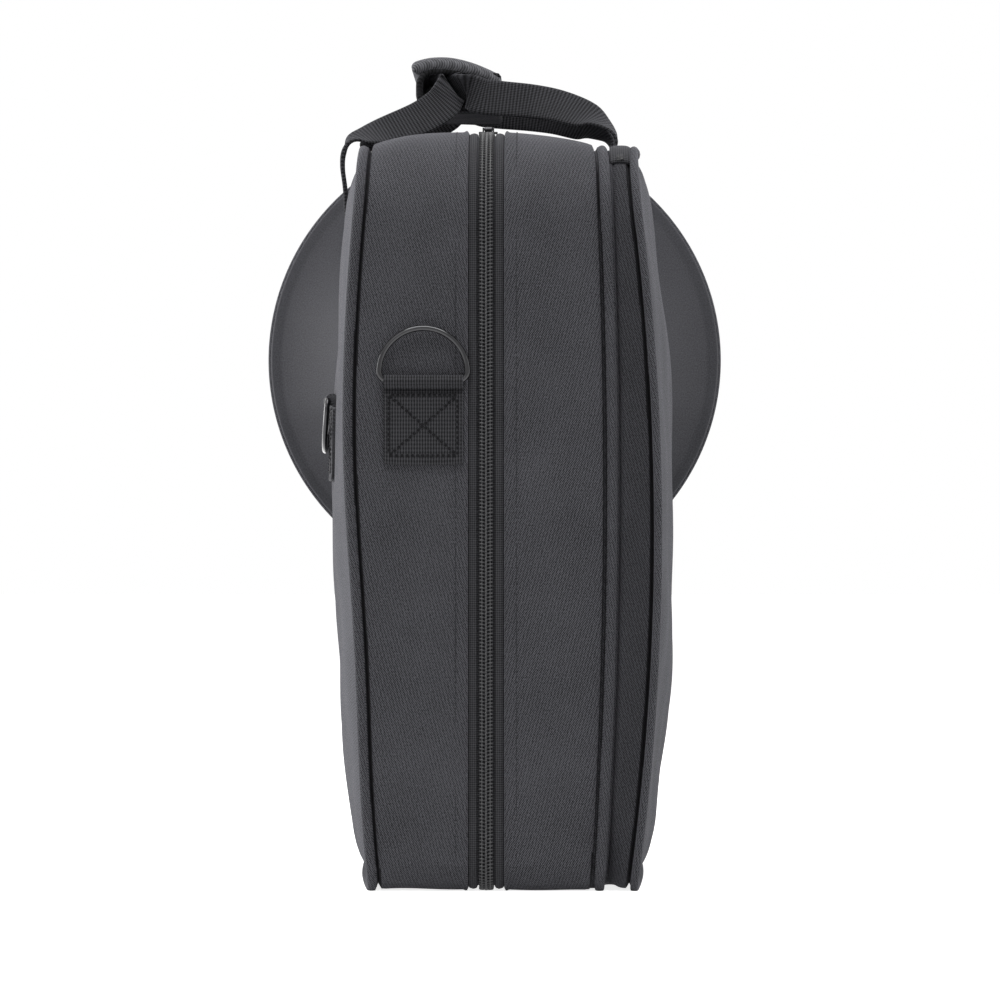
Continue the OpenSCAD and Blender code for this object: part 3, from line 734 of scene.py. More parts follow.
def zip_line(step):
    """Points [y, z] and outward normals at equal steps round the case on the zip line.

    It is the body's outline with the drum's outline let in where the drum stands out of it,
    starting and ending at the middle of the hinge. The drum counts from where it first reaches
    past the body's back.
    """
    body, _ = outline(body_corners, spacing=0.002)
    away = np.abs(body[:, 1] - drum_z)
    outside = away >= flare_radius(body[:, 0])
    flare = arc_points((flare_centre, throat_y), flare_r, 180.0, 180.0 - flare_sweep, 40)
    band = np.array([[drum_r + band_growth, drum_back - cap_corner_r]])
    corner = arc_points((drum_r + band_growth - cap_corner_r, drum_back - cap_corner_r),
                        cap_corner_r, 0.0, 90.0, 12)
    profile = np.concatenate([flare, band, corner])
    first = np.flatnonzero(~outside)[0]
    top_again = np.flatnonzero(~outside)[-1] + 1
    profile = profile[profile[:, 1] > overhang_y]
    low = np.stack([profile[:, 1], drum_z - profile[:, 0]], axis=1)
    high = np.stack([profile[:, 1], drum_z + profile[:, 0]], axis=1)[::-1]
    loop = np.concatenate([body[:first], low, high, body[top_again:]])
    middle = (hinge_front + hinge_back) / 2
    start = np.argmin(np.hypot(loop[:, 0] - middle, loop[:, 1]))
    loop = np.roll(loop, -start, axis=0)
    loop = np.concatenate([loop, loop[:1]])
    length = run_length(loop)
    keep = np.concatenate([[True], np.diff(length) > 1e-5])
    at = np.arange(0, length[-1], step)
    points = np.stack([np.interp(at, length[keep], loop[keep, i]) for i in (0, 1)], axis=1)
    run = np.roll(points, -1, axis=0) - np.roll(points, 1, axis=0)
    for _ in range(2):
        run = run + 0.5 * (np.roll(run, 1, axis=0) + np.roll(run, -1, axis=0))
    run /= np.linalg.norm(run, axis=1, keepdims=True)
    return points, np.stack([run[:, 1], -run[:, 0]], axis=1)


def off_the_hinge(points, beyond):
    """True where a point of the zip line is not over the hinge, nor within a distance of its ends."""
    near_floor = points[:, 1] < 0.012
    over = (points[:, 0] > hinge_front - beyond) & (points[:, 0] < hinge_back + beyond)
    return ~(near_floor & over)


def placed(points, normals, x, up):
    """Points in the row frame at x from the zip line and a height above its surface."""
    return np.stack([np.broadcast_to(x, up.shape), points[:, :1] + normals[:, :1] * up + front_y,
                     points[:, 1:2] + normals[:, 1:2] * up], axis=-1)


def zip_tape_cloth(side, name):
    """One tape: nearly flat, with a low woven ridge where it is stitched.

    It dips beside the ridge and at its outer edge, and runs lower still under the teeth.
    """
    points, normals = zip_line(0.003)
    keep = off_the_hinge(points, 0.0)
    points, normals = points[keep], normals[keep]
    across = np.linspace(tape_from, tape_to, 42)[None, :]
    up = np.full((len(points), 42), -0.0012)
    ridge_x, hem_x, teeth_x, groove_x = 0.0085, 0.0122, 0.0050, 0.0056
    up += 0.00045 * bell(across - ridge_x, 0.0012)
    up -= 0.0014 * bell(across - hem_x, 0.0010)
    up -= 0.0018 * (1 - np.clip((across - teeth_x) / 0.0010, 0, 1))
    up -= 0.0010 * bell(across - groove_x, 0.0006)
    p = placed(points, normals, side * across, up)
    along = np.arange(len(points))[:, None] * 0.003
    uv = np.stack(np.broadcast_arrays(along, across), axis=-1)
    thing = grid_mesh(name, p, uv, flip=side < 0)
    thicken(thing, tape_t)
    return thing


def bars(ends, radii, sides, rings, arch):
    """Vertices and faces of many rounded bars, each from one end to the other.

    ends has rows [[x, y, z], [x, y, z], [up x, up y, up z]]; radii are across and up, for all
    the bars or for each.
    """
    start, stop, up = ends[:, 0], ends[:, 1], ends[:, 2]
    run = stop - start
    length = np.linalg.norm(run, axis=1, keepdims=True)
    way = run / length
    wide = np.cross(way, up)
    turn = np.linspace(0, np.pi, rings)
    t = (1 - np.cos(turn)) / 2
    size = np.clip(np.sin(turn) * 2.2, 0.02, 1.0)
    radii = np.broadcast_to(radii, (len(ends), 2))[:, :, None]
    angle = np.linspace(0, 2 * np.pi, sides, endpoint=False)
    middle = start[:, None] + run[:, None] * t[None, :, None]
    middle = middle + up[:, None] * (arch * np.sin(np.pi * t))[None, :, None]
    ring = wide[:, None, None] * (np.cos(angle) * radii[:, 0])[:, None, :, None] + \
        up[:, None, None] * (np.sin(angle) * radii[:, 1])[:, None, :, None]
    p = middle[:, :, None] + ring * size[None, :, None, None]
    count = len(ends)
    index = np.arange(count * rings * sides).reshape(count, rings, sides)
    a, b = index[:, :-1], index[:, 1:]
    quads = np.stack([a, np.roll(a, -1, axis=2), np.roll(b, -1, axis=2), b], axis=-1).reshape(-1, 4)
    caps = [index[:, 0, ::-1].reshape(count, sides), index[:, -1].reshape(count, sides)]
    return p.reshape(-1, 3), quads, np.concatenate(caps)


def make_bars(name, ends, radii, sides=8, rings=7, arch=0.0):
    """One mesh of many rounded bars, with the weave UV map laid along and across them."""
    points, quads, caps = bars(ends, radii, sides, rings, arch)
    mesh = bpy.data.meshes.new(name)
    mesh.from_pydata(points.tolist(), [], quads.tolist() + caps.tolist())
    layer = mesh.uv_layers.new(name="weave")
    corner = np.empty(len(mesh.loops), dtype=np.int32)
    mesh.loops.foreach_get("vertex_index", corner)
    layer.data.foreach_set("uv", points[corner][:, [0, 2]].reshape(-1))
    mesh.polygons.foreach_set("use_smooth", np.ones(len(mesh.polygons), dtype=bool))
    mesh.update()
    thing = bpy.data.objects.new(name, mesh)
    bpy.context.collection.objects.link(thing)
    weld(thing)
    return thing


def tooth_ends(side):
    """Ends and up directions of one row's teeth, half a pitch out of step with the other row.

    Each tooth is a slanting leg and a thick head that reaches between the other row's heads.
    """
    points, normals = zip_line(tooth_pitch / 2)
    row = slice(0 if side < 0 else 1, None, 2)
    points, normals = points[row], normals[row]
    keep = off_the_hinge(points, teeth_clear)
    points, normals = points[keep], normals[keep]
    slant = leg_slant * np.stack([normals[:, 1], -normals[:, 0]], axis=1)
    level = np.full((len(points), 1), -0.0008)
    inner = placed(points, normals, side * leg_from, level)[:, 0]
    outer = placed(points + slant, normals, side * leg_to, level - 0.0002)[:, 0]
    tip = placed(points, normals, side * head_from, level)[:, 0]
    neck = placed(points, normals, side * head_to, level)[:, 0]
    up = np.stack([0 * normals[:, 0], normals[:, 0], normals[:, 1]], axis=1)
    legs = np.stack([inner, outer, up], axis=1)
    heads = np.stack([tip, neck, up], axis=1)
    return np.concatenate([legs, heads]), points, normals


def smooth_plastic(name, colour, rough):
    """Drawn nylon: smooth with faint streaks."""
    material = bpy.data.materials.new(name)
    material.use_nodes = True
    tree = material.node_tree
    bsdf = tree.nodes["Principled BSDF"]
    bsdf.inputs["Specular IOR Level"].default_value = 0.5
    uv = tree.nodes.new("ShaderNodeUVMap")
    uv.uv_map = "weave"
    streaks = noise_of(tree, uv, 0.0015, 3.0)
    roughness = math_node(tree, "MULTIPLY_ADD", streaks, 0.3, rough - 0.15)
    tree.links.new(roughness, bsdf.inputs["Roughness"])
    colour_by(tree, bsdf, streaks, colour, 0.7, 1.4)
    return material


tape_cloth = webbing("zip_tape_weave", (0.032, 0.032, 0.035), rib=0.0015, thread=0.0013,
                     depth=0.0002, rough=0.75, rib_share=0.2)
coil_nylon = smooth_plastic("coil_nylon", (0.015, 0.015, 0.017), 0.32)
for side, name in ((-1, "left"), (1, "right")):
    body = "base" if side < 0 else "lid"
    tape = zip_tape_cloth(side, name + "_zip_tape_weave")
    tape.data.materials.append(tape_cloth)
    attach(tape, body)
    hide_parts(name + "_zip_tape")
    ends, points, normals = tooth_ends(side)
    leg_radii, head_radii = (0.00056, 0.0006), (0.00078, 0.0007)
    thickness = np.repeat([leg_radii, head_radii], len(points), axis=0)
    teeth = make_bars(name + "_coil_teeth", ends, thickness, sides=7, rings=6, arch=0.0004)
    teeth.data.materials.append(coil_nylon)
    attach(teeth, body)
    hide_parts(name + "_zip_coil")
    core = placed(points, normals, side * coil_core_x, np.full((len(points), 1), -0.0006))[:, 0]
    filler = make_tube(name + "_coil_core", core, coil_core_r, sides=8, closed=False)
    filler.data.materials.append(coil_nylon)
    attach(filler, body)

# ---------------------------------------------------------------------------
# Stitching on the walls
# Rows of lockstitch beside the zip that hold the folded edges to the tapes.
# ---------------------------------------------------------------------------


def stitch_row(points, ups, pitch=0.0036, stitch_len=0.0027):
    """Ends of stitches laid along a row of points, with the up direction of each."""
    length = run_length(points)
    at = np.arange(pitch / 2, length[-1] - pitch / 2, pitch)

    def sample(rows, where):
        """Values of rows at distances along the line."""
        return np.stack([np.interp(where, length, rows[:, i]) for i in range(3)], axis=1)

    return np.stack([sample(points, at - stitch_len / 2), sample(points, at + stitch_len / 2),
                     sample(ups, at)], axis=1)


thread = webbing("sewing_thread", (0.024, 0.024, 0.027), rib=0.0004, thread=0.0003, depth=0.00005)
seam_x = 0.0200
stitch_lift = 0.0001
for side, name in ((-1, "left"), (1, "right")):
    reach, radius = crown_of(side)
    yz, normals = outline(body_corners)
    edge = crown_height(reach, radius, yz)[:, None]
    line = gusset_point(side, yz, normals, np.full_like(edge, seam_x), edge)[:, 0]
    keep = ~inside_drum(line, -0.003) & (line[:, 2] >= 0.01)
    line[:, 1] += front_y
    ups = np.stack([0 * normals[:, 0], normals[:, 0], normals[:, 1]], axis=1)
    line = line + ups * stitch_lift
    order = np.flatnonzero(keep)
    breaks = np.flatnonzero(np.diff(order) > 1)
    rows = [r for r in np.split(order, breaks + 1) if len(r) > 3]
    ends = np.concatenate([stitch_row(line[r], ups[r]) for r in rows])
    seam = make_bars(name + "_edge_stitches", ends, (0.00035, 0.00022), sides=6, rings=5)
    seam.data.materials.append(thread)
    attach(seam, "base" if side < 0 else "lid")

# ---------------------------------------------------------------------------
# D-rings and their patches
# Steel wire rings that hook to a shoulder strap, each held in a folded loop of wide webbing
# which is sewn down with a box and a cross.
# ---------------------------------------------------------------------------
ring_web = 0.052
wire_r = 0.0019
loop_r = 0.0039
patch_drop = 0.054
arch_r = 0.029
arch_rise = 0.0055
foot_r = 0.0062


def metal(name, colour, rough):
    """Dark plated steel with faint polishing marks."""
    material = bpy.data.materials.new(name)
    material.use_nodes = True
    tree = material.node_tree
    bsdf = tree.nodes["Principled BSDF"]
    bsdf.inputs["Metallic"].default_value = 1.0
    place = tree.nodes.new("ShaderNodeTexCoord")
    noise = tree.nodes.new("ShaderNodeTexNoise")
    noise.inputs["Scale"].default_value = 420.0
    noise.inputs["Detail"].default_value = 4.0
    tree.links.new(place.outputs["Object"], noise.inputs["Vector"])
    marks = noise.outputs["Fac"]
    tree.links.new(math_node(tree, "MULTIPLY_ADD", marks, 0.22, rough - 0.11),
                   bsdf.inputs["Roughness"])
    colour_by(tree, bsdf, marks, colour, 0.75, 1.25)
    bsdf.inputs["Coat Weight"].default_value = 0.8
    bsdf.inputs["Coat Roughness"].default_value = 0.06
    return material


def ring_path(steps=64):
    """Middle line [x, z] of a D-ring: a bar, two rounded feet and an arch over them."""
    arch = np.radians(np.linspace(0, 180, steps))
    top = np.stack([arch_r * np.cos(arch), arch_rise + arch_r * np.sin(arch)], axis=1)
    foot = np.radians(np.linspace(180, 270, 9))
    left = np.stack([-arch_r + foot_r + foot_r * np.cos(foot), foot_r + foot_r * np.sin(foot)], axis=1)
    bar = np.stack([np.linspace(-arch_r + foot_r, arch_r - foot_r, 12)[1:-1], np.zeros(10)], axis=1)
    right = (left * [-1, 1])[::-1]
    return np.concatenate([top[:-1], left, bar, right[:-1]])


dark_steel = metal("dark_steel", (0.016, 0.016, 0.018), 0.2)
patch_webbing = webbing("patch_webbing", (0.030, 0.030, 0.033), rib=0.0026, thread=0.0018,
                        depth=0.0005, rib_share=0.18, thread_share=0.34)
# Real black thread, made near-black and wide enough to stand also for painted shade in the needle
# holes along the stitching.
black_thread_and_hole_shade = webbing("black_thread_and_hole_shade", (0.006, 0.006, 0.007), rib=0.0004, thread=0.0003,
                       depth=0.00005)
front_ring_x, front_ring_z = -0.041, 0.335
side_ring_y, side_ring_z = 0.118, 0.325


def at_front(p):
    """Row-frame places of points [across, out, up] from the front ring's bar."""
    centre = np.array([front_ring_x, front_y - loop_r, front_ring_z])
    return centre + np.stack([p[..., 0], -p[..., 1], p[..., 2]], axis=-1)


def at_side(p):
    """Row-frame places of points [across, out, up] from the side ring's bar, on the crowned panel."""
    y = side_ring_y - p[..., 0]
    z = side_ring_z + p[..., 2]
    hanging = crown_height(left_crown, left_crown_r, np.stack([y, z], axis=-1))
    return np.stack([-(hanging + loop_r + p[..., 1]), y + front_y, z], axis=-1)


def make_patch(name, at):
    """Folded webbing: flat against the wall below, round the ring's bar above.

    Its long edges thin out, its hem bows down at the middle and has a low fold across it, and
    faint ribs run along it.
    """
    turn = np.radians(np.linspace(-62, 150, 30))
    loop = np.stack([loop_r * np.cos(turn), loop_r * np.sin(turn)], axis=1)
    wall_out = -loop_r
    front_out = wall_out + 0.003
    drop = np.linspace(-patch_drop, -0.0068, 18)
    face = np.stack([np.full(18, front_out), drop], axis=1)
    face[-1, 0] -= 0.0002
    crease = np.array([[front_out - 0.0024, -0.0058]])
    back = np.array([[wall_out - 0.001, 0.0030], [wall_out - 0.001, -patch_drop],
                     [front_out - 0.0008, -patch_drop - 0.0006]])
    profile = np.concatenate([face, crease, loop, back])
    share = np.concatenate([[-1, -0.992], np.linspace(-0.975, 0.975, 24), [0.992, 1]])
    across = share * ring_web / 2
    edge_w = 0.0009
    edge = np.clip((np.abs(across) - (ring_web / 2 - edge_w)) / edge_w, 0, 1)
    p = np.empty((len(profile) + 1, len(across), 3))
    closed = np.concatenate([profile, profile[:1]])
    p[..., 0] = across[None, :]
    p[..., 1] = closed[:, :1] - 0.0006 * edge[None, :] ** 2
    p[..., 2] = closed[:, 1:2]
    hem = np.clip((-p[..., 2] - 0.046) / 0.008, 0, 1)
    p[..., 2] -= 0.0009 * hem * (1 - (across[None, :] / (ring_web / 2)) ** 2) - 0.0012 * hem * edge
    hem_fold = bell(p[..., 2] + patch_drop - 0.001, 0.0016)
    p[..., 1] += 0.0004 * hem_fold * (p[..., 1] > -0.002)
    p[..., 1] += 0.00015 * np.sin(across[None, :] * 900)
    uv = np.stack(np.broadcast_arrays(run_length(closed)[:, None], across[None, :]), axis=-1)
    thing = grid_mesh(name, at(p), uv)
    weld(thing, caps=True)
    return thing


def patch_stitches(name, at):
    """Black thread drawn into the webbing, its wide near-black bars also painted shade of the needle
    holes: a box near the patch's edges and a cross inside it.
    """
    w, low, high = ring_web / 2 - 0.0035, -patch_drop + 0.005, -0.0095
    out = -loop_r + 0.0031
    corners = [(-w, low), (w, low), (w, high), (-w, high), (-w, low), (w, high)]
    rows = []
    for (x0, z0), (x1, z1) in list(zip(corners[:-1], corners[1:])) + [((-w, high), (w, low))]:
        t = np.linspace(0, 1, 60)[:, None]
        line = np.concatenate([x0 + (x1 - x0) * t, np.full((60, 1), out), z0 + (z1 - z0) * t],
                              axis=1)
        ahead = at(line + [0, 0.001, 0]) - at(line)
        rows.append(stitch_row(at(line), ahead / np.linalg.norm(ahead, axis=1, keepdims=True),
                               0.0034, 0.0023))
    return make_bars(name, np.concatenate(rows), (0.0012, 0.0005), sides=6, rings=5)


def make_ring(name, at, lean):
    """A wire D-ring, turned by lean in degrees about its bar."""
    path = ring_path()
    angle = np.radians(lean)
    local = np.stack([path[:, 0], path[:, 1] * np.sin(angle), path[:, 1] * np.cos(angle)], axis=1)
    bar = at(np.zeros(3))
    across = at(np.array([0.001, 0.0, 0.0])) - bar
    out = at(np.array([0.0, 0.001, 0.0])) - bar
    across[0] = 0.0 if abs(across[1]) > abs(across[0]) else across[0]
    basis = np.stack([across / np.linalg.norm(across), out / np.linalg.norm(out), [0, 0, 1.0]])
    return make_tube(name, bar + local @ basis, wire_r, sides=20, guide=out / np.linalg.norm(out))


for name, at, lean in (("front", at_front, 0.0), ("side", at_side, 175.0)):
    patch = make_patch(name + "_ring_webbing", at)
    patch.data.materials.append(patch_webbing)
    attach(patch, "base")
    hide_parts(name + "_ring_patch")
    seam = patch_stitches(name + "_ring_stitches", at)
    seam.data.materials.append(black_thread_and_hole_shade)
    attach(seam, "base")
    ring = make_ring(name + "_ring_wire", at, lean)
    ring.data.materials.append(dark_steel)
    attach(ring, name + "_ring")
    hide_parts(name + "_ring")

# ---------------------------------------------------------------------------
# Handle straps
# Two loops of heavy webbing sewn to the side panels; both run through the padded grip.
# ---------------------------------------------------------------------------
strap_w = 0.025
strap_t = 0.0024
grip_y = 0.240
grip_len = 0.104
top_front, top_back = body_corners[4], body_corners[3]
top_slope = np.arctan2(top_back[1] - top_front[1], top_back[0])
hug_share, hug_from = 0.35, 0.080
strap_askew = 0.008
left_near = [
    [(-0.0976, 0.150, 0.446), (0, 1, 0)],
    [(-0.0989, 0.150, 0.470), (0, 1, 0)],
    [(-0.1008, 0.150, 0.486), (0, 1, 0)],
    [(-0.0998, 0.151, 0.4965), (0, 1, 0)],
    [(-0.0945, 0.153, 0.5045), (0, 0.95, 0.25)],
    [(-0.0835, 0.158, 0.5085), (-0.2, 0.8, 0.5)],
    [(-0.0660, 0.165, 0.5140), (-0.4, 0.45, 0.8)],
    [(-0.0465, 0.172, 0.5228), (-0.45, 0.3, 0.85)],
    [(-0.0332, 0.178, 0.5320), (-0.5, 0.15, 0.85)],
    [(-0.0285, 0.183, 0.5390), (-0.5, 0.05, 0.87)],
    [(-0.0270, 0.188, 0.5432), (-0.6, 0, 0.8)],
    [(-0.0270, 0.200, 0.5432), (-0.6, 0, 0.8)],
]
right_near = [
    [(0.0862, 0.150, 0.4975), (0, 1, 0)],
    [(0.0874, 0.150, 0.5035), (0, 1, 0)],
    [(0.0846, 0.151, 0.5105), (0.1, 1, 0.1)],
    [(0.0760, 0.154, 0.5180), (0.25, 0.9, 0.35)],
    [(0.0650, 0.159, 0.5235), (0.2, 0.6, 0.72)],
    [(0.0470, 0.166, 0.5300), (0.1, 0.45, 0.87)],
    [(0.0286, 0.171, 0.5335), (0, 0.3, 0.94)],
    [(0.0092, 0.174, 0.5355), (0, 0.2, 0.97)],
    [(-0.0040, 0.177, 0.5370), (0.05, 0.1, 1)],
    [(-0.0120, 0.181, 0.5400), (-0.2, 0.1, 0.97)],
    [(-0.0170, 0.187, 0.5432), (-0.6, 0.1, 0.8)],
    [(-0.0180, 0.200, 0.5432), (-0.6, 0, 0.8)],
]


def smooth_through(points, steps=12):
    """A curve through points: each stretch is the cubic whose slopes are half the neighbours' span."""
    p = np.array(points, dtype=float)
    padded_points = np.concatenate([2 * p[:1] - p[1:2], p, 2 * p[-1:] - p[-2:-1]])
    a, b, c, d = padded_points[:-3], padded_points[1:-2], padded_points[2:-1], padded_points[3:]
    t = np.linspace(0, 1, steps, endpoint=False)[None, :, None]
    a, b, c, d = a[:, None], b[:, None], c[:, None], d[:, None]
    curve = 0.5 * (2 * b + (c - a) * t + (2 * a - 5 * b + 4 * c - d) * t ** 2
                   + (3 * b - a - 3 * c + d) * t ** 3)
    return np.concatenate([curve.reshape(-1, p.shape[1]), p[-1:]])


def flat_section(width, thickness, sides=5):
    """Closed outline [across, up] of a flat tape with round edges."""
    r = thickness / 2
    angle = np.linspace(-np.pi / 2, np.pi / 2, sides)
    right = np.stack([width / 2 - r + r * np.cos(angle), r * np.sin(angle)], axis=1)
    left = -right
    across = np.linspace(1, -1, 9)[1:-1] * (width / 2 - r)
    upper = np.stack([across, np.full(7, r)], axis=1)
    return np.concatenate([right, upper, left, -upper])


def sweep(name, middles, widths, section):
    """A closed section [across, up] carried along a row of middles, its width along widths."""
    run = np.gradient(middles, axis=0)
    run /= np.linalg.norm(run, axis=1, keepdims=True)
    w = widths - run * np.sum(widths * run, axis=1, keepdims=True)
    w /= np.linalg.norm(w, axis=1, keepdims=True)
    up = np.cross(run, w)
    section = np.concatenate([section, section[:1]])
    points = middles[:, None] + section[None, :, :1] * w[:, None] + section[None, :, 1:] * up[:, None]
    along = np.broadcast_to(run_length(middles)[:, None], points.shape[:2])
    around = np.broadcast_to(run_length(section)[None, :], points.shape[:2])
    thing = grid_mesh(name, points, np.stack([along, around], axis=-1))
    weld(thing, caps=True)
    return thing


def whole_strap(near):
    """Middles and width directions of a strap: the near half, then its mirror image beyond the grip.

    The far half stands higher by the slope of the case's top, fading out towards the grip, and
    on the left lies closer to the case by a third of its distance beyond 80 mm from the zip
    line. Inside the grip the strap lies askew by one turn of a sine wave.
    """
    near_middle = np.array([station[0] for station in near], dtype=float)
    near_width = np.array([station[1] for station in near], dtype=float)
    far_rise = 2 * (grip_y - near_middle[0, 1]) * np.tan(top_slope)
    rise = far_rise * np.clip((near_middle[-1, 2] - near_middle[:, 2]) / 0.032, 0, 1)
    shift = np.stack([0 * rise, 2 * grip_y + 0 * rise, rise], axis=1)
    far_middle = near_middle * [1, -1, 1] + shift
    far_middle[:, 0] += hug_share * np.maximum(-far_middle[:, 0] - hug_from, 0)
    far_width = near_width * [1, -1, 1]
    middles = smooth_through(np.concatenate([near_middle, far_middle[::-1]]))
    widths = smooth_through(np.concatenate([near_width, far_width[::-1]]))
    from_middle = np.clip((middles[:, 1] - grip_y) / (grip_len / 2), -1, 1)
    middles[:, 0] += strap_askew * np.sin(np.pi * from_middle)
    middles[:, 1] += front_y
    return middles, widths


strap_webbing = webbing("strap_webbing", (0.025, 0.025, 0.028), depth=0.0005, rib_share=0.3,
                        thread_share=0.24, contrast=0.9)
for name, near, body in (("left", left_near, "base"), ("right", right_near, "lid")):
    middles, widths = whole_strap(near)
    strap = sweep(name + "_strap_webbing", middles, widths, flat_section(strap_w, strap_t))
    strap.data.materials.append(strap_webbing)
    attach(strap, body)
    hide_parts(name + "_strap")

# ---------------------------------------------------------------------------
# Grip and its flap
# A padded sleeve of cloth round both straps, open on the right, and the thick flap that folds
# over it and closes with hook and loop; both are edged with soft tape.
# ---------------------------------------------------------------------------
grip_near = grip_y - grip_len / 2
grip_left, grip_low = -0.0515, 0.527
grip_mouth = 0.008


def soft_sheet(name, line, thickness, near, far, hollow=0.0015):
    """A padded strip: a line [x, z] carried from near to far in depth, thick, with round ends.

    Both faces puff out between the ends of the strip and draw in at its edges, and a hollow that a
    row of stitching pulls runs 8 mm in from each end.
    """
    way = np.gradient(line, axis=0)
    way /= np.linalg.norm(way, axis=1, keepdims=True)
    normal = np.stack([-way[:, 1], way[:, 0]], axis=1)
    y = near + (far - near) * (1 - np.cos(np.linspace(0, np.pi, 40))) / 2
    from_end = np.minimum(y - near, far - y)
    along = run_length(line)
    from_edge = np.minimum(along, along[-1] - along)
    edge_r = thickness / 2
    depth_y = np.sqrt(np.clip(1 - (1 - np.clip(from_end / edge_r, 0, 1)) ** 2, 0, 1))
    depth_s = np.sqrt(np.clip(1 - (1 - np.clip(from_edge / edge_r, 0, 1)) ** 2, 0, 1))
    half = edge_r * depth_s[:, None] * depth_y[None, :]
    seam = bell(from_end - 0.008, 0.0016)[None, :]
    half = half - hollow * seam * (half > hollow * 1.5)
    faces = []
    for sign in (1, -1):
        p = np.empty((len(line), len(y), 3))
        p[..., 0] = line[:, :1] + sign * half * normal[:, :1]
        p[..., 1] = y[None, :] + front_y
        p[..., 2] = line[:, 1:] + sign * half * normal[:, 1:]
        p[..., 2] += cloth_waves(p * 2.2, 0.00035) * (half / edge_r)
        faces.append(p)
    uv = np.stack(np.broadcast_arrays(along[:, None], y[None, :]), axis=-1)
    upper = grid_mesh(name, faces[0], uv, flip=True)
    lower = grid_mesh(name + "_under", faces[1], uv)
    return joined(upper, lower, 0.00002)


def joined(first, second, distance):
    """Joins a second object into the first and welds their shared edges."""
    work = bmesh.new()
    work.from_mesh(first.data)
    work.from_mesh(second.data)
    bmesh.ops.remove_doubles(work, verts=work.verts, dist=distance)
    bmesh.ops.recalc_face_normals(work, faces=work.faces)
    work.to_mesh(first.data)
    work.free()
    first.data.update()
    bpy.data.objects.remove(second)
    return first


def arc_line(centre, radius, first, last, steps=14):
    """Points [x, z] along a circle's arc between two angles in degrees."""
    angle = np.radians(np.linspace(first, last, steps))
    return np.array(centre) + radius * np.stack([np.cos(angle), np.sin(angle)], axis=1)


pad_t = 0.0048
bend = 0.0105
inner_left = grip_left + pad_t / 2
low_z, high_z = grip_low + pad_t / 2, 0.5562
grip_line = np.concatenate([
    np.stack([np.linspace(grip_mouth, inner_left + bend, 24)[:-1], np.full(23, low_z)], axis=1),
    arc_line((inner_left + bend, low_z + bend), bend, 270, 180)[:-1],
    np.stack([np.full(8, inner_left), np.linspace(low_z + bend, high_z - bend, 8)], axis=1)[:-1],
    arc_line((inner_left + bend, high_z - bend), bend, 180, 90)[:-1],
    np.stack([np.linspace(inner_left + bend, grip_mouth, 24),
              high_z - 0.004 * np.linspace(0, 1, 24) ** 2], axis=1),
])
# Lit and shaded copies of one cloth: the flap's is lighter as painted light on its top, the sleeve's
# darker as painted shade on its underside.
grip_cloth = twill("grip_cloth", (0.088, 0.088, 0.095), thread=0.0011, depth=0.0002, contrast=0.6)
sleeve_painted_shade_cloth = twill("sleeve_painted_shade_cloth", (0.010, 0.010, 0.011), thread=0.0016, depth=0.0003, sheen=0.1)
grip = soft_sheet("grip_sleeve", grip_line, pad_t, grip_near, grip_near + grip_len)
grip.data.materials.append(sleeve_painted_shade_cloth)
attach(grip, "base")
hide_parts("grip_pad")

flap_line = smooth_through([(-0.0540, 0.5560), (-0.0490, 0.5585), (-0.040, 0.5606), (-0.028, 0.5604),
                            (-0.014, 0.5572), (-0.002, 0.5525), (0.0075, 0.5475)], steps=6)
flap = soft_sheet("grip_flap_pad", flap_line, 0.011, grip_near - 0.001, grip_near + grip_len + 0.001,
                  hollow=0.0008)
flap.data.materials.append(grip_cloth)
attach(flap, "grip_flap")
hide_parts("grip_flap")

# ---------------------------------------------------------------------------
# Accessory pocket
# A flat pocket over the lid's panel: its own narrow gusset with a zip along the top, a
# crowned face and a piped seam between the two.
# ---------------------------------------------------------------------------
pocket_corners = [
    (0.001, 0.0, 0.017),
    (0.338, 0.0, 0.046),
    (0.338, 0.503, 0.046),
    (0.001, 0.489, 0.056),
]
pocket_crown, pocket_crown_r = 0.128, 1.7
pocket_middle = (0.220, 0.235)
pocket_zip_x = 0.097
pocket_zip_front, pocket_zip_back = 0.024, 0.286
pocket_cloth_t = 0.003
dent_depth, dent_z, dent_reach = 0.0065, 0.012, 0.030
pucker_rise, pucker_pitch, pucker_z, pucker_spread = 0.0009, 0.019, 0.497, 0.018


def pocket_sag(normals, t):
    """How far the pocket gusset's cloth lies inside its outline between its two seams."""
    ahead, up = facing(-normals[:, 0:1]), facing(normals[:, 1:2])
    return 0.0012 + (0.0035 * ahead + 0.0004 * up) * bell(t - 0.12, 0.12)


# A darker copy of the body's cloth for the pocket gusset and face: painted shade where the pocket
# faces away from the lamps.
pocket_painted_shade_cloth = twill("pocket_painted_shade_twill", (0.031, 0.031, 0.035))


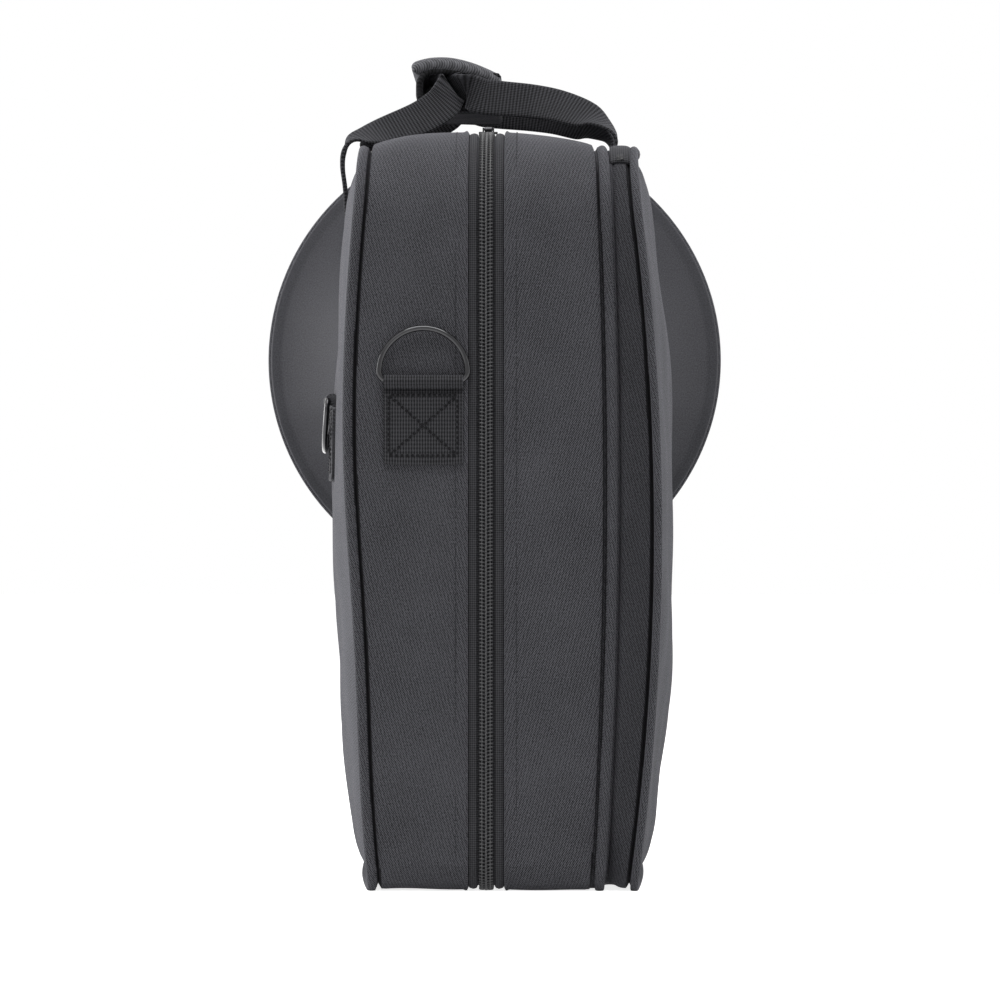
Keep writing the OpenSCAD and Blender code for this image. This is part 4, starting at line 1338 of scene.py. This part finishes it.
def make_pocket_gusset():
    """The pocket's narrow wall, from the lid's panel out to its piping, with a dent low in front."""
    yz, normals = outline(pocket_corners, spacing=0.003)
    edge = crown_height(pocket_crown, pocket_crown_r, yz, pocket_middle)[:, None] - seam_gap
    start = crown_height(right_crown, right_crown_r, yz)[:, None] - 0.008
    t = np.linspace(0, 1, 60)[None, :]
    across = start + (edge - start) * t
    sag = pocket_sag(normals, t)
    dent = bell(yz[:, 1:2] - dent_z, dent_reach) * bell(yz[:, 0:1], dent_reach)
    fold = bell(t - 0.45, 0.16)
    sag = sag + dent_depth * dent * fold + 0.8 * beside_piping(edge - across + 0.0004)
    sag = sag + facing(-normals[:, 0:1]) * beside_piping(across - start - 0.0085)
    inner = yz[:, None, :] - normals[:, None, :] * sag[..., None]
    p = np.stack([across, inner[..., 0], inner[..., 1]], axis=-1)
    p[..., 1:] += normals[:, None, :] * (cloth_waves(p, 0.0004) * np.sin(np.pi * t))[..., None]
    along = run_length(yz)
    uv = np.stack([np.broadcast_to(along[:, None], across.shape), -across], axis=-1)
    p[..., 1] += front_y
    thing = grid_mesh("pocket_gusset_cloth", p, uv, wrap_u=True)
    # The strip beside the pocket's piping gets the near-black cloth as painted shade.
    paint_seam_shade(thing, edge - across, (pocket_painted_shade_cloth, seam_shadow_cloth))
    thicken(thing, pocket_cloth_t)
    return thing


def pocket_seam_sink(normals):
    """The pocket's seam lies close to its outline all round."""
    return np.full(len(normals), 0.0014)


def make_pocket_face():
    """The pocket's crowned face, softer than the panels, with low puckers along the top."""
    yz, height, from_seam, normals = panel_grid(pocket_corners, pocket_crown, pocket_crown_r,
                                                pocket_seam_sink, pocket_middle,
                                                seam_drop=0.0045, seam_reach=0.007)
    p = np.stack([height, yz[..., 0], yz[..., 1]], axis=-1)
    calm = 1 - np.exp(-from_seam / 0.02)
    p[..., 0] += cloth_waves(p, 0.0011) * calm
    near_top = bell(pucker_z - yz[..., 1], pucker_spread)
    p[..., 0] += pucker_rise * near_top * np.sin(yz[..., 0] * 2 * np.pi / pucker_pitch)
    uv = np.stack([p[..., 1], p[..., 2]], axis=-1)
    p[..., 1] += front_y
    thing = grid_mesh("pocket_face_cloth", p, uv, wrap_u=True)
    thing.data.materials.append(pocket_painted_shade_cloth)
    drop_hidden(thing, np.zeros(p.shape[0] * p.shape[1], dtype=bool))
    thicken(thing, pocket_cloth_t)
    return thing


for part, piece in (("pocket_gusset", make_pocket_gusset()), ("pocket_face", make_pocket_face())):
    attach(piece, "lid")
    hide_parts(part)

seam_yz, seam_normals = outline(pocket_corners, spacing=0.003)
seam_x_out = crown_height(pocket_crown, pocket_crown_r, seam_yz, pocket_middle)
seam_in = seam_yz - seam_normals * 0.0012
pocket_seam = np.stack([seam_x_out - 0.0008, seam_in[:, 0] + front_y, seam_in[:, 1]], axis=1)
pocket_cord_r = 0.0028
pocket_cord = make_tube("pocket_piping_cord", pocket_seam, pocket_cord_r)
pocket_cord.data.materials.append(cloth)
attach(pocket_cord, "lid")
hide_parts("pocket_piping")


def pocket_zip_line(step):
    """Points and normals of the pocket's zip along its top edge, front to back."""
    yz, normals = outline(pocket_corners, spacing=0.001)
    on_top = (yz[:, 1] > 0.3) & (yz[:, 0] > pocket_zip_front) & (yz[:, 0] < pocket_zip_back)
    yz, normals = yz[on_top], normals[on_top]
    order = np.argsort(yz[:, 0])
    yz, normals = yz[order], normals[order]
    length = run_length(yz)
    at = np.arange(0, length[-1], step)
    points, ups = [np.stack([np.interp(at, length, rows[:, i]) for i in (0, 1)], axis=1)
                   for rows in (yz, normals)]
    return points, ups


least_from_seam = 0.010


def pocket_zip_across(line):
    """Where the pocket's zip runs: straight, but no nearer to the piped seam than 10 mm."""
    seam = crown_height(pocket_crown, pocket_crown_r, line, pocket_middle)
    return np.minimum(pocket_zip_x, seam - least_from_seam)[:, None]


tape_half, tape_step = 0.006, 0.002
line, ups = pocket_zip_line(tape_step)
across = np.linspace(-tape_half, tape_half, 21)[None, :]
raised = np.full((len(line), 21), 0.0006) - 0.0012 * (np.abs(across) / tape_half) ** 4
raised -= 0.0022 * np.exp(-run_length(line) / 0.004)[:, None]
tape_points = placed(line, ups, pocket_zip_across(line) + across, raised)
along = np.arange(len(line))[:, None] * tape_step
pocket_tape = grid_mesh("pocket_zip_weave", tape_points,
                        np.stack(np.broadcast_arrays(along, across), axis=-1))
thicken(pocket_tape, 0.0016)
pocket_tape.data.materials.append(tape_cloth)
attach(pocket_tape, "lid")
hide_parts("pocket_zip_tape")

pocket_pitch = 0.0016
teeth = []
for side in (-1, 1):
    line, ups = pocket_zip_line(pocket_pitch / 2)
    line, ups = line[(side + 1) // 2::2], ups[(side + 1) // 2::2]
    level = np.full((len(line), 1), 0.0009)
    inner = placed(line, ups, pocket_zip_across(line) - side * 0.0004, level)[:, 0]
    outer = placed(line, ups, pocket_zip_across(line) + side * 0.0026, level)[:, 0]
    up = np.stack([0 * ups[:, 0], ups[:, 0], ups[:, 1]], axis=1)
    teeth.append(np.stack([inner, outer, up], axis=1))
tooth_radii, tooth_arch = (0.00045, 0.0005), 0.0005
pocket_teeth = make_bars("pocket_coil_teeth", np.concatenate(teeth), tooth_radii, arch=tooth_arch)
pocket_teeth.data.materials.append(coil_nylon)
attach(pocket_teeth, "lid")
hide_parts("pocket_zip_coil")

# ---------------------------------------------------------------------------
# Sliders and pulls
# Cast zinc, blackened; each pull hangs on its slider's pin and lies flat at rest.
# ---------------------------------------------------------------------------


def round_edges(thing, width):
    """Rounds a hard part's edges a little, as casting leaves them."""
    merge = thing.modifiers.new("merge", "WELD")
    merge.merge_threshold = 0.00001
    bevel = thing.modifiers.new("round_edges", "BEVEL")
    bevel.width = width
    bevel.segments = 2
    bevel.limit_method = "ANGLE"


for name in ("front", "rear", "pocket"):
    for part in ("_slider", "_pull"):
        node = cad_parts[name + part]
        node.data.materials.clear()
        node.data.materials.append(dark_steel)
        round_edges(node, 0.0003)

# ---------------------------------------------------------------------------
# Linings
# Brushed plush glued over the inside of the walls, the panels and the drum.
# ---------------------------------------------------------------------------


def plush(name, colour):
    """Short brushed pile: soft, with a strong sheen and patches where the pile lies over."""
    material, tree, bsdf, uv, split = woven_base(name, 0.95, 0.8, 0.2)
    pile = noise_of(tree, uv, 0.0011, 3.0)
    lie = noise_of(tree, uv, 0.02, 3.0)
    height = math_node(tree, "MULTIPLY_ADD", lie, 0.6, math_node(tree, "MULTIPLY", pile, 0.6))
    finish_cloth(tree, bsdf, uv, height, colour, 0.0009, 0.03, 0.45)
    return material


wall = 0.006
lining_t = 0.0055
lining_gap = 0.0012
wall_steps = 22
lined_corner_r = 0.012
plush_grey = plush("plush_grey", (0.075, 0.075, 0.082))


def make_lining(side, name, reach, radius):
    """One half's lining: in from the zip line along the walls, then over the panel."""
    yz, normals = outline(body_corners, inset=wall)
    edge = crown_height(reach, radius, yz)[:, None] - wall
    t = np.linspace(0, 1, wall_steps)[None, :]
    across = lining_gap + (edge - lining_gap) * t
    inside = yz[:, None] - normals[:, None] * gusset_sag(normals, t)[..., None]
    walls = np.concatenate([side * across[..., None], inside], axis=-1)
    middle = np.array([yz[:, 0].mean(), yz[:, 1].mean()])
    s = np.linspace(0.01, 1, 46)[None, :, None]
    flat = inside[:, -1:] + (middle - inside[:, -1])[:, None] * s
    over = np.stack([side * (crown_height(reach, radius, flat) - wall), flat[..., 0], flat[..., 1]],
                    axis=-1)
    p = np.concatenate([walls, over], axis=1)
    corner = run_length(yz)
    uv = np.empty(p.shape[:2] + (2,))
    uv[:, :wall_steps] = np.stack([np.broadcast_to(corner[:, None], across.shape), across], axis=-1)
    uv[:, wall_steps:] = over[..., 1:]
    hidden = inside_drum(p, 0.0).reshape(-1)
    p[..., 1] += front_y
    thing = grid_mesh(name, p, uv, wrap_u=True, flip=side < 0)
    drop_hidden(thing, hidden)
    thicken(thing, lining_t)
    return thing


def make_drum_lining(side, name):
    """The drum's lining: the flare, the band and the back, a wall's thickness inside them."""
    inner_r = drum_r - wall
    arc = arc_points((flare_centre, throat_y), flare_r + wall, 178.0, 180.0 - flare_sweep, 30)
    corner_y = drum_back - wall - lined_corner_r
    band = np.stack([np.full(8, inner_r), np.linspace(rim_y + 0.004, corner_y, 8)], axis=1)
    corner = arc_points((inner_r - lined_corner_r, corner_y), lined_corner_r, 4, 90, 8)
    back = np.stack([np.linspace(inner_r - lined_corner_r - 0.002, 0.004, 30),
                     np.full(30, drum_back - wall)], axis=1)
    arc = arc[arc[:, 0] < inner_r]
    profile = np.concatenate([arc, band, corner, back])
    p, angle = turned(profile, side, lining_gap, 90)
    along = run_length(profile)[:, None]
    uv = np.stack([np.broadcast_to(along, angle.shape), angle * 0.15], axis=-1)
    p[..., 1] += front_y
    thing = grid_mesh(name, p, uv, flip=side > 0)
    thicken(thing, lining_t)
    return thing


for side, name in ((-1, "left"), (1, "right")):
    reach, radius = crown_of(side)
    body = "base" if side < 0 else "lid"
    for piece, part in ((make_lining(side, name + "_plush", reach, radius), "_lining"),
                        (make_drum_lining(side, name + "_drum_plush"), "_drum_lining")):
        piece.data.materials.append(plush_grey)
        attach(piece, body)
        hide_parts(name + part)

# ---------------------------------------------------------------------------
# Foam cradles and drum pads
# Cut polyurethane foam covered in the same plush: a block with a round recess for the coiled
# tubing in each half, and a half ring in the drum for the bell's edge to rest on.
# ---------------------------------------------------------------------------
recess_y, recess_z, recess_r = 0.225, 0.235, 0.195
cradle_from = 0.024
cradle_soft, cradle_gap = 0.0022, 0.0012
drum_pad_r, drum_pad_t = 0.118, 0.014
pad_edge_r, pad_gap = 0.003, 0.0022
plush_foam = plush("plush_over_foam", (0.062, 0.062, 0.068))


def make_cradle(side, name, reach, radius):
    """Foam between the walls and the round recess, its open face towards the other half.

    The open face falls back by a parabola near its two edges.
    """
    inset = wall + lining_t + cradle_gap
    yz, normals = outline(body_corners, inset=inset)
    away = yz - [recess_y, recess_z]
    reach_out = np.linalg.norm(away, axis=1, keepdims=True)
    rim = np.array([recess_y, recess_z]) + away / reach_out * recess_r
    t = np.linspace(0, 1, 14)[None, :, None]
    face = yz[:, None] + (rim - yz)[:, None] * t
    depth = crown_height(reach, radius, face) - inset
    soft = cradle_soft * (1 - np.clip(4 * t[..., 0] * (1 - t[..., 0]) * 4, 0, 1))
    level = np.broadcast_to(side * (cradle_from + soft), face.shape[:2])
    front = np.stack([level, face[..., 0], face[..., 1]], axis=-1)
    back = np.stack([side * depth, face[..., 0], face[..., 1]], axis=-1)[:, ::-1]
    s = np.linspace(0, 1, 7)[None, 1:-1, None]
    inner = front[:, -1:] + (back[:, :1] - front[:, -1:]) * s
    outer = back[:, -1:] + (front[:, :1] - back[:, -1:]) * s
    p = np.concatenate([front, inner, back, outer, front[:, :1]], axis=1)
    corner = np.broadcast_to(run_length(yz)[:, None], p.shape[:2])
    around = np.broadcast_to(np.arange(p.shape[1])[None, :] * 0.004, p.shape[:2])
    hidden = inside_drum(p, -0.004).reshape(-1)
    p[..., 1] += front_y
    thing = grid_mesh(name, p, np.stack([corner, around], axis=-1), wrap_u=True, flip=side > 0)
    drop_hidden(thing, hidden)
    weld(thing, caps=True)
    return thing


def make_drum_pad(side, name):
    """Half ring of foam with rounded edges against the drum's back."""
    outer = drum_r - wall - 0.006 - 0.0145
    back = drum_back - wall - 0.0062
    low, high = back - drum_pad_t, back
    r = pad_edge_r
    profile = np.concatenate([
        arc_points((outer - r, low + r), r, 0, -90, 5),
        arc_points((drum_pad_r + r, low + r), r, -90, -180, 5),
        [[drum_pad_r, high], [outer, high]],
        arc_points((outer - r, low + r), r, 0, -1, 1)])
    p, angle = turned(profile, side, pad_gap, 80)
    along = run_length(profile)[:, None]
    p[..., 1] += front_y
    thing = grid_mesh(name, p, np.stack([np.broadcast_to(along, angle.shape), angle * 0.13], axis=-1),
                      flip=side < 0)
    weld(thing, caps=True)
    return thing


for side, name in ((-1, "left"), (1, "right")):
    reach, radius = crown_of(side)
    for piece, part in ((make_cradle(side, name + "_foam_cradle", reach, radius), "_cradle"),
                        (make_drum_pad(side, name + "_foam_drum_pad"), "_drum_pad")):
        piece.data.materials.append(plush_foam)
        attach(piece, "base" if side < 0 else "lid")
        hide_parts(name + part)

# ---------------------------------------------------------------------------
# Cloth hinge
# Two strips of webbing under the bottom, stitched to the halves, that meet at the fold line.
# ---------------------------------------------------------------------------
hinge_t = 0.002
hinge_edge = 0.0012


def make_hinge_leaf(side, name):
    """One strip, as thick as the webbing, with its edges rounded."""
    across = np.concatenate([[0.0004], np.linspace(0.0012, hinge_width - 0.001, 18),
                             [hinge_width]])[None, :]
    y = np.linspace(hinge_front, hinge_back, 80)[:, None]
    low = 0.0004 * np.clip((across - (hinge_width - hinge_edge)) / hinge_edge, 0, 1) + 0.0002
    p = np.stack(np.broadcast_arrays(side * across, y + front_y, low + 0 * y), axis=-1)
    uv = np.stack(np.broadcast_arrays(y, across), axis=-1)
    thing = grid_mesh(name, p, uv, flip=side < 0)
    thicken(thing, hinge_t - 0.0003)
    return thing


for side, name in ((-1, "left"), (1, "right")):
    leaf = make_hinge_leaf(side, name + "_hinge_strip")
    leaf.data.materials.append(strap_webbing)
    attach(leaf, "base" if side < 0 else "lid")
    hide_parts(name + "_hinge_leaf")
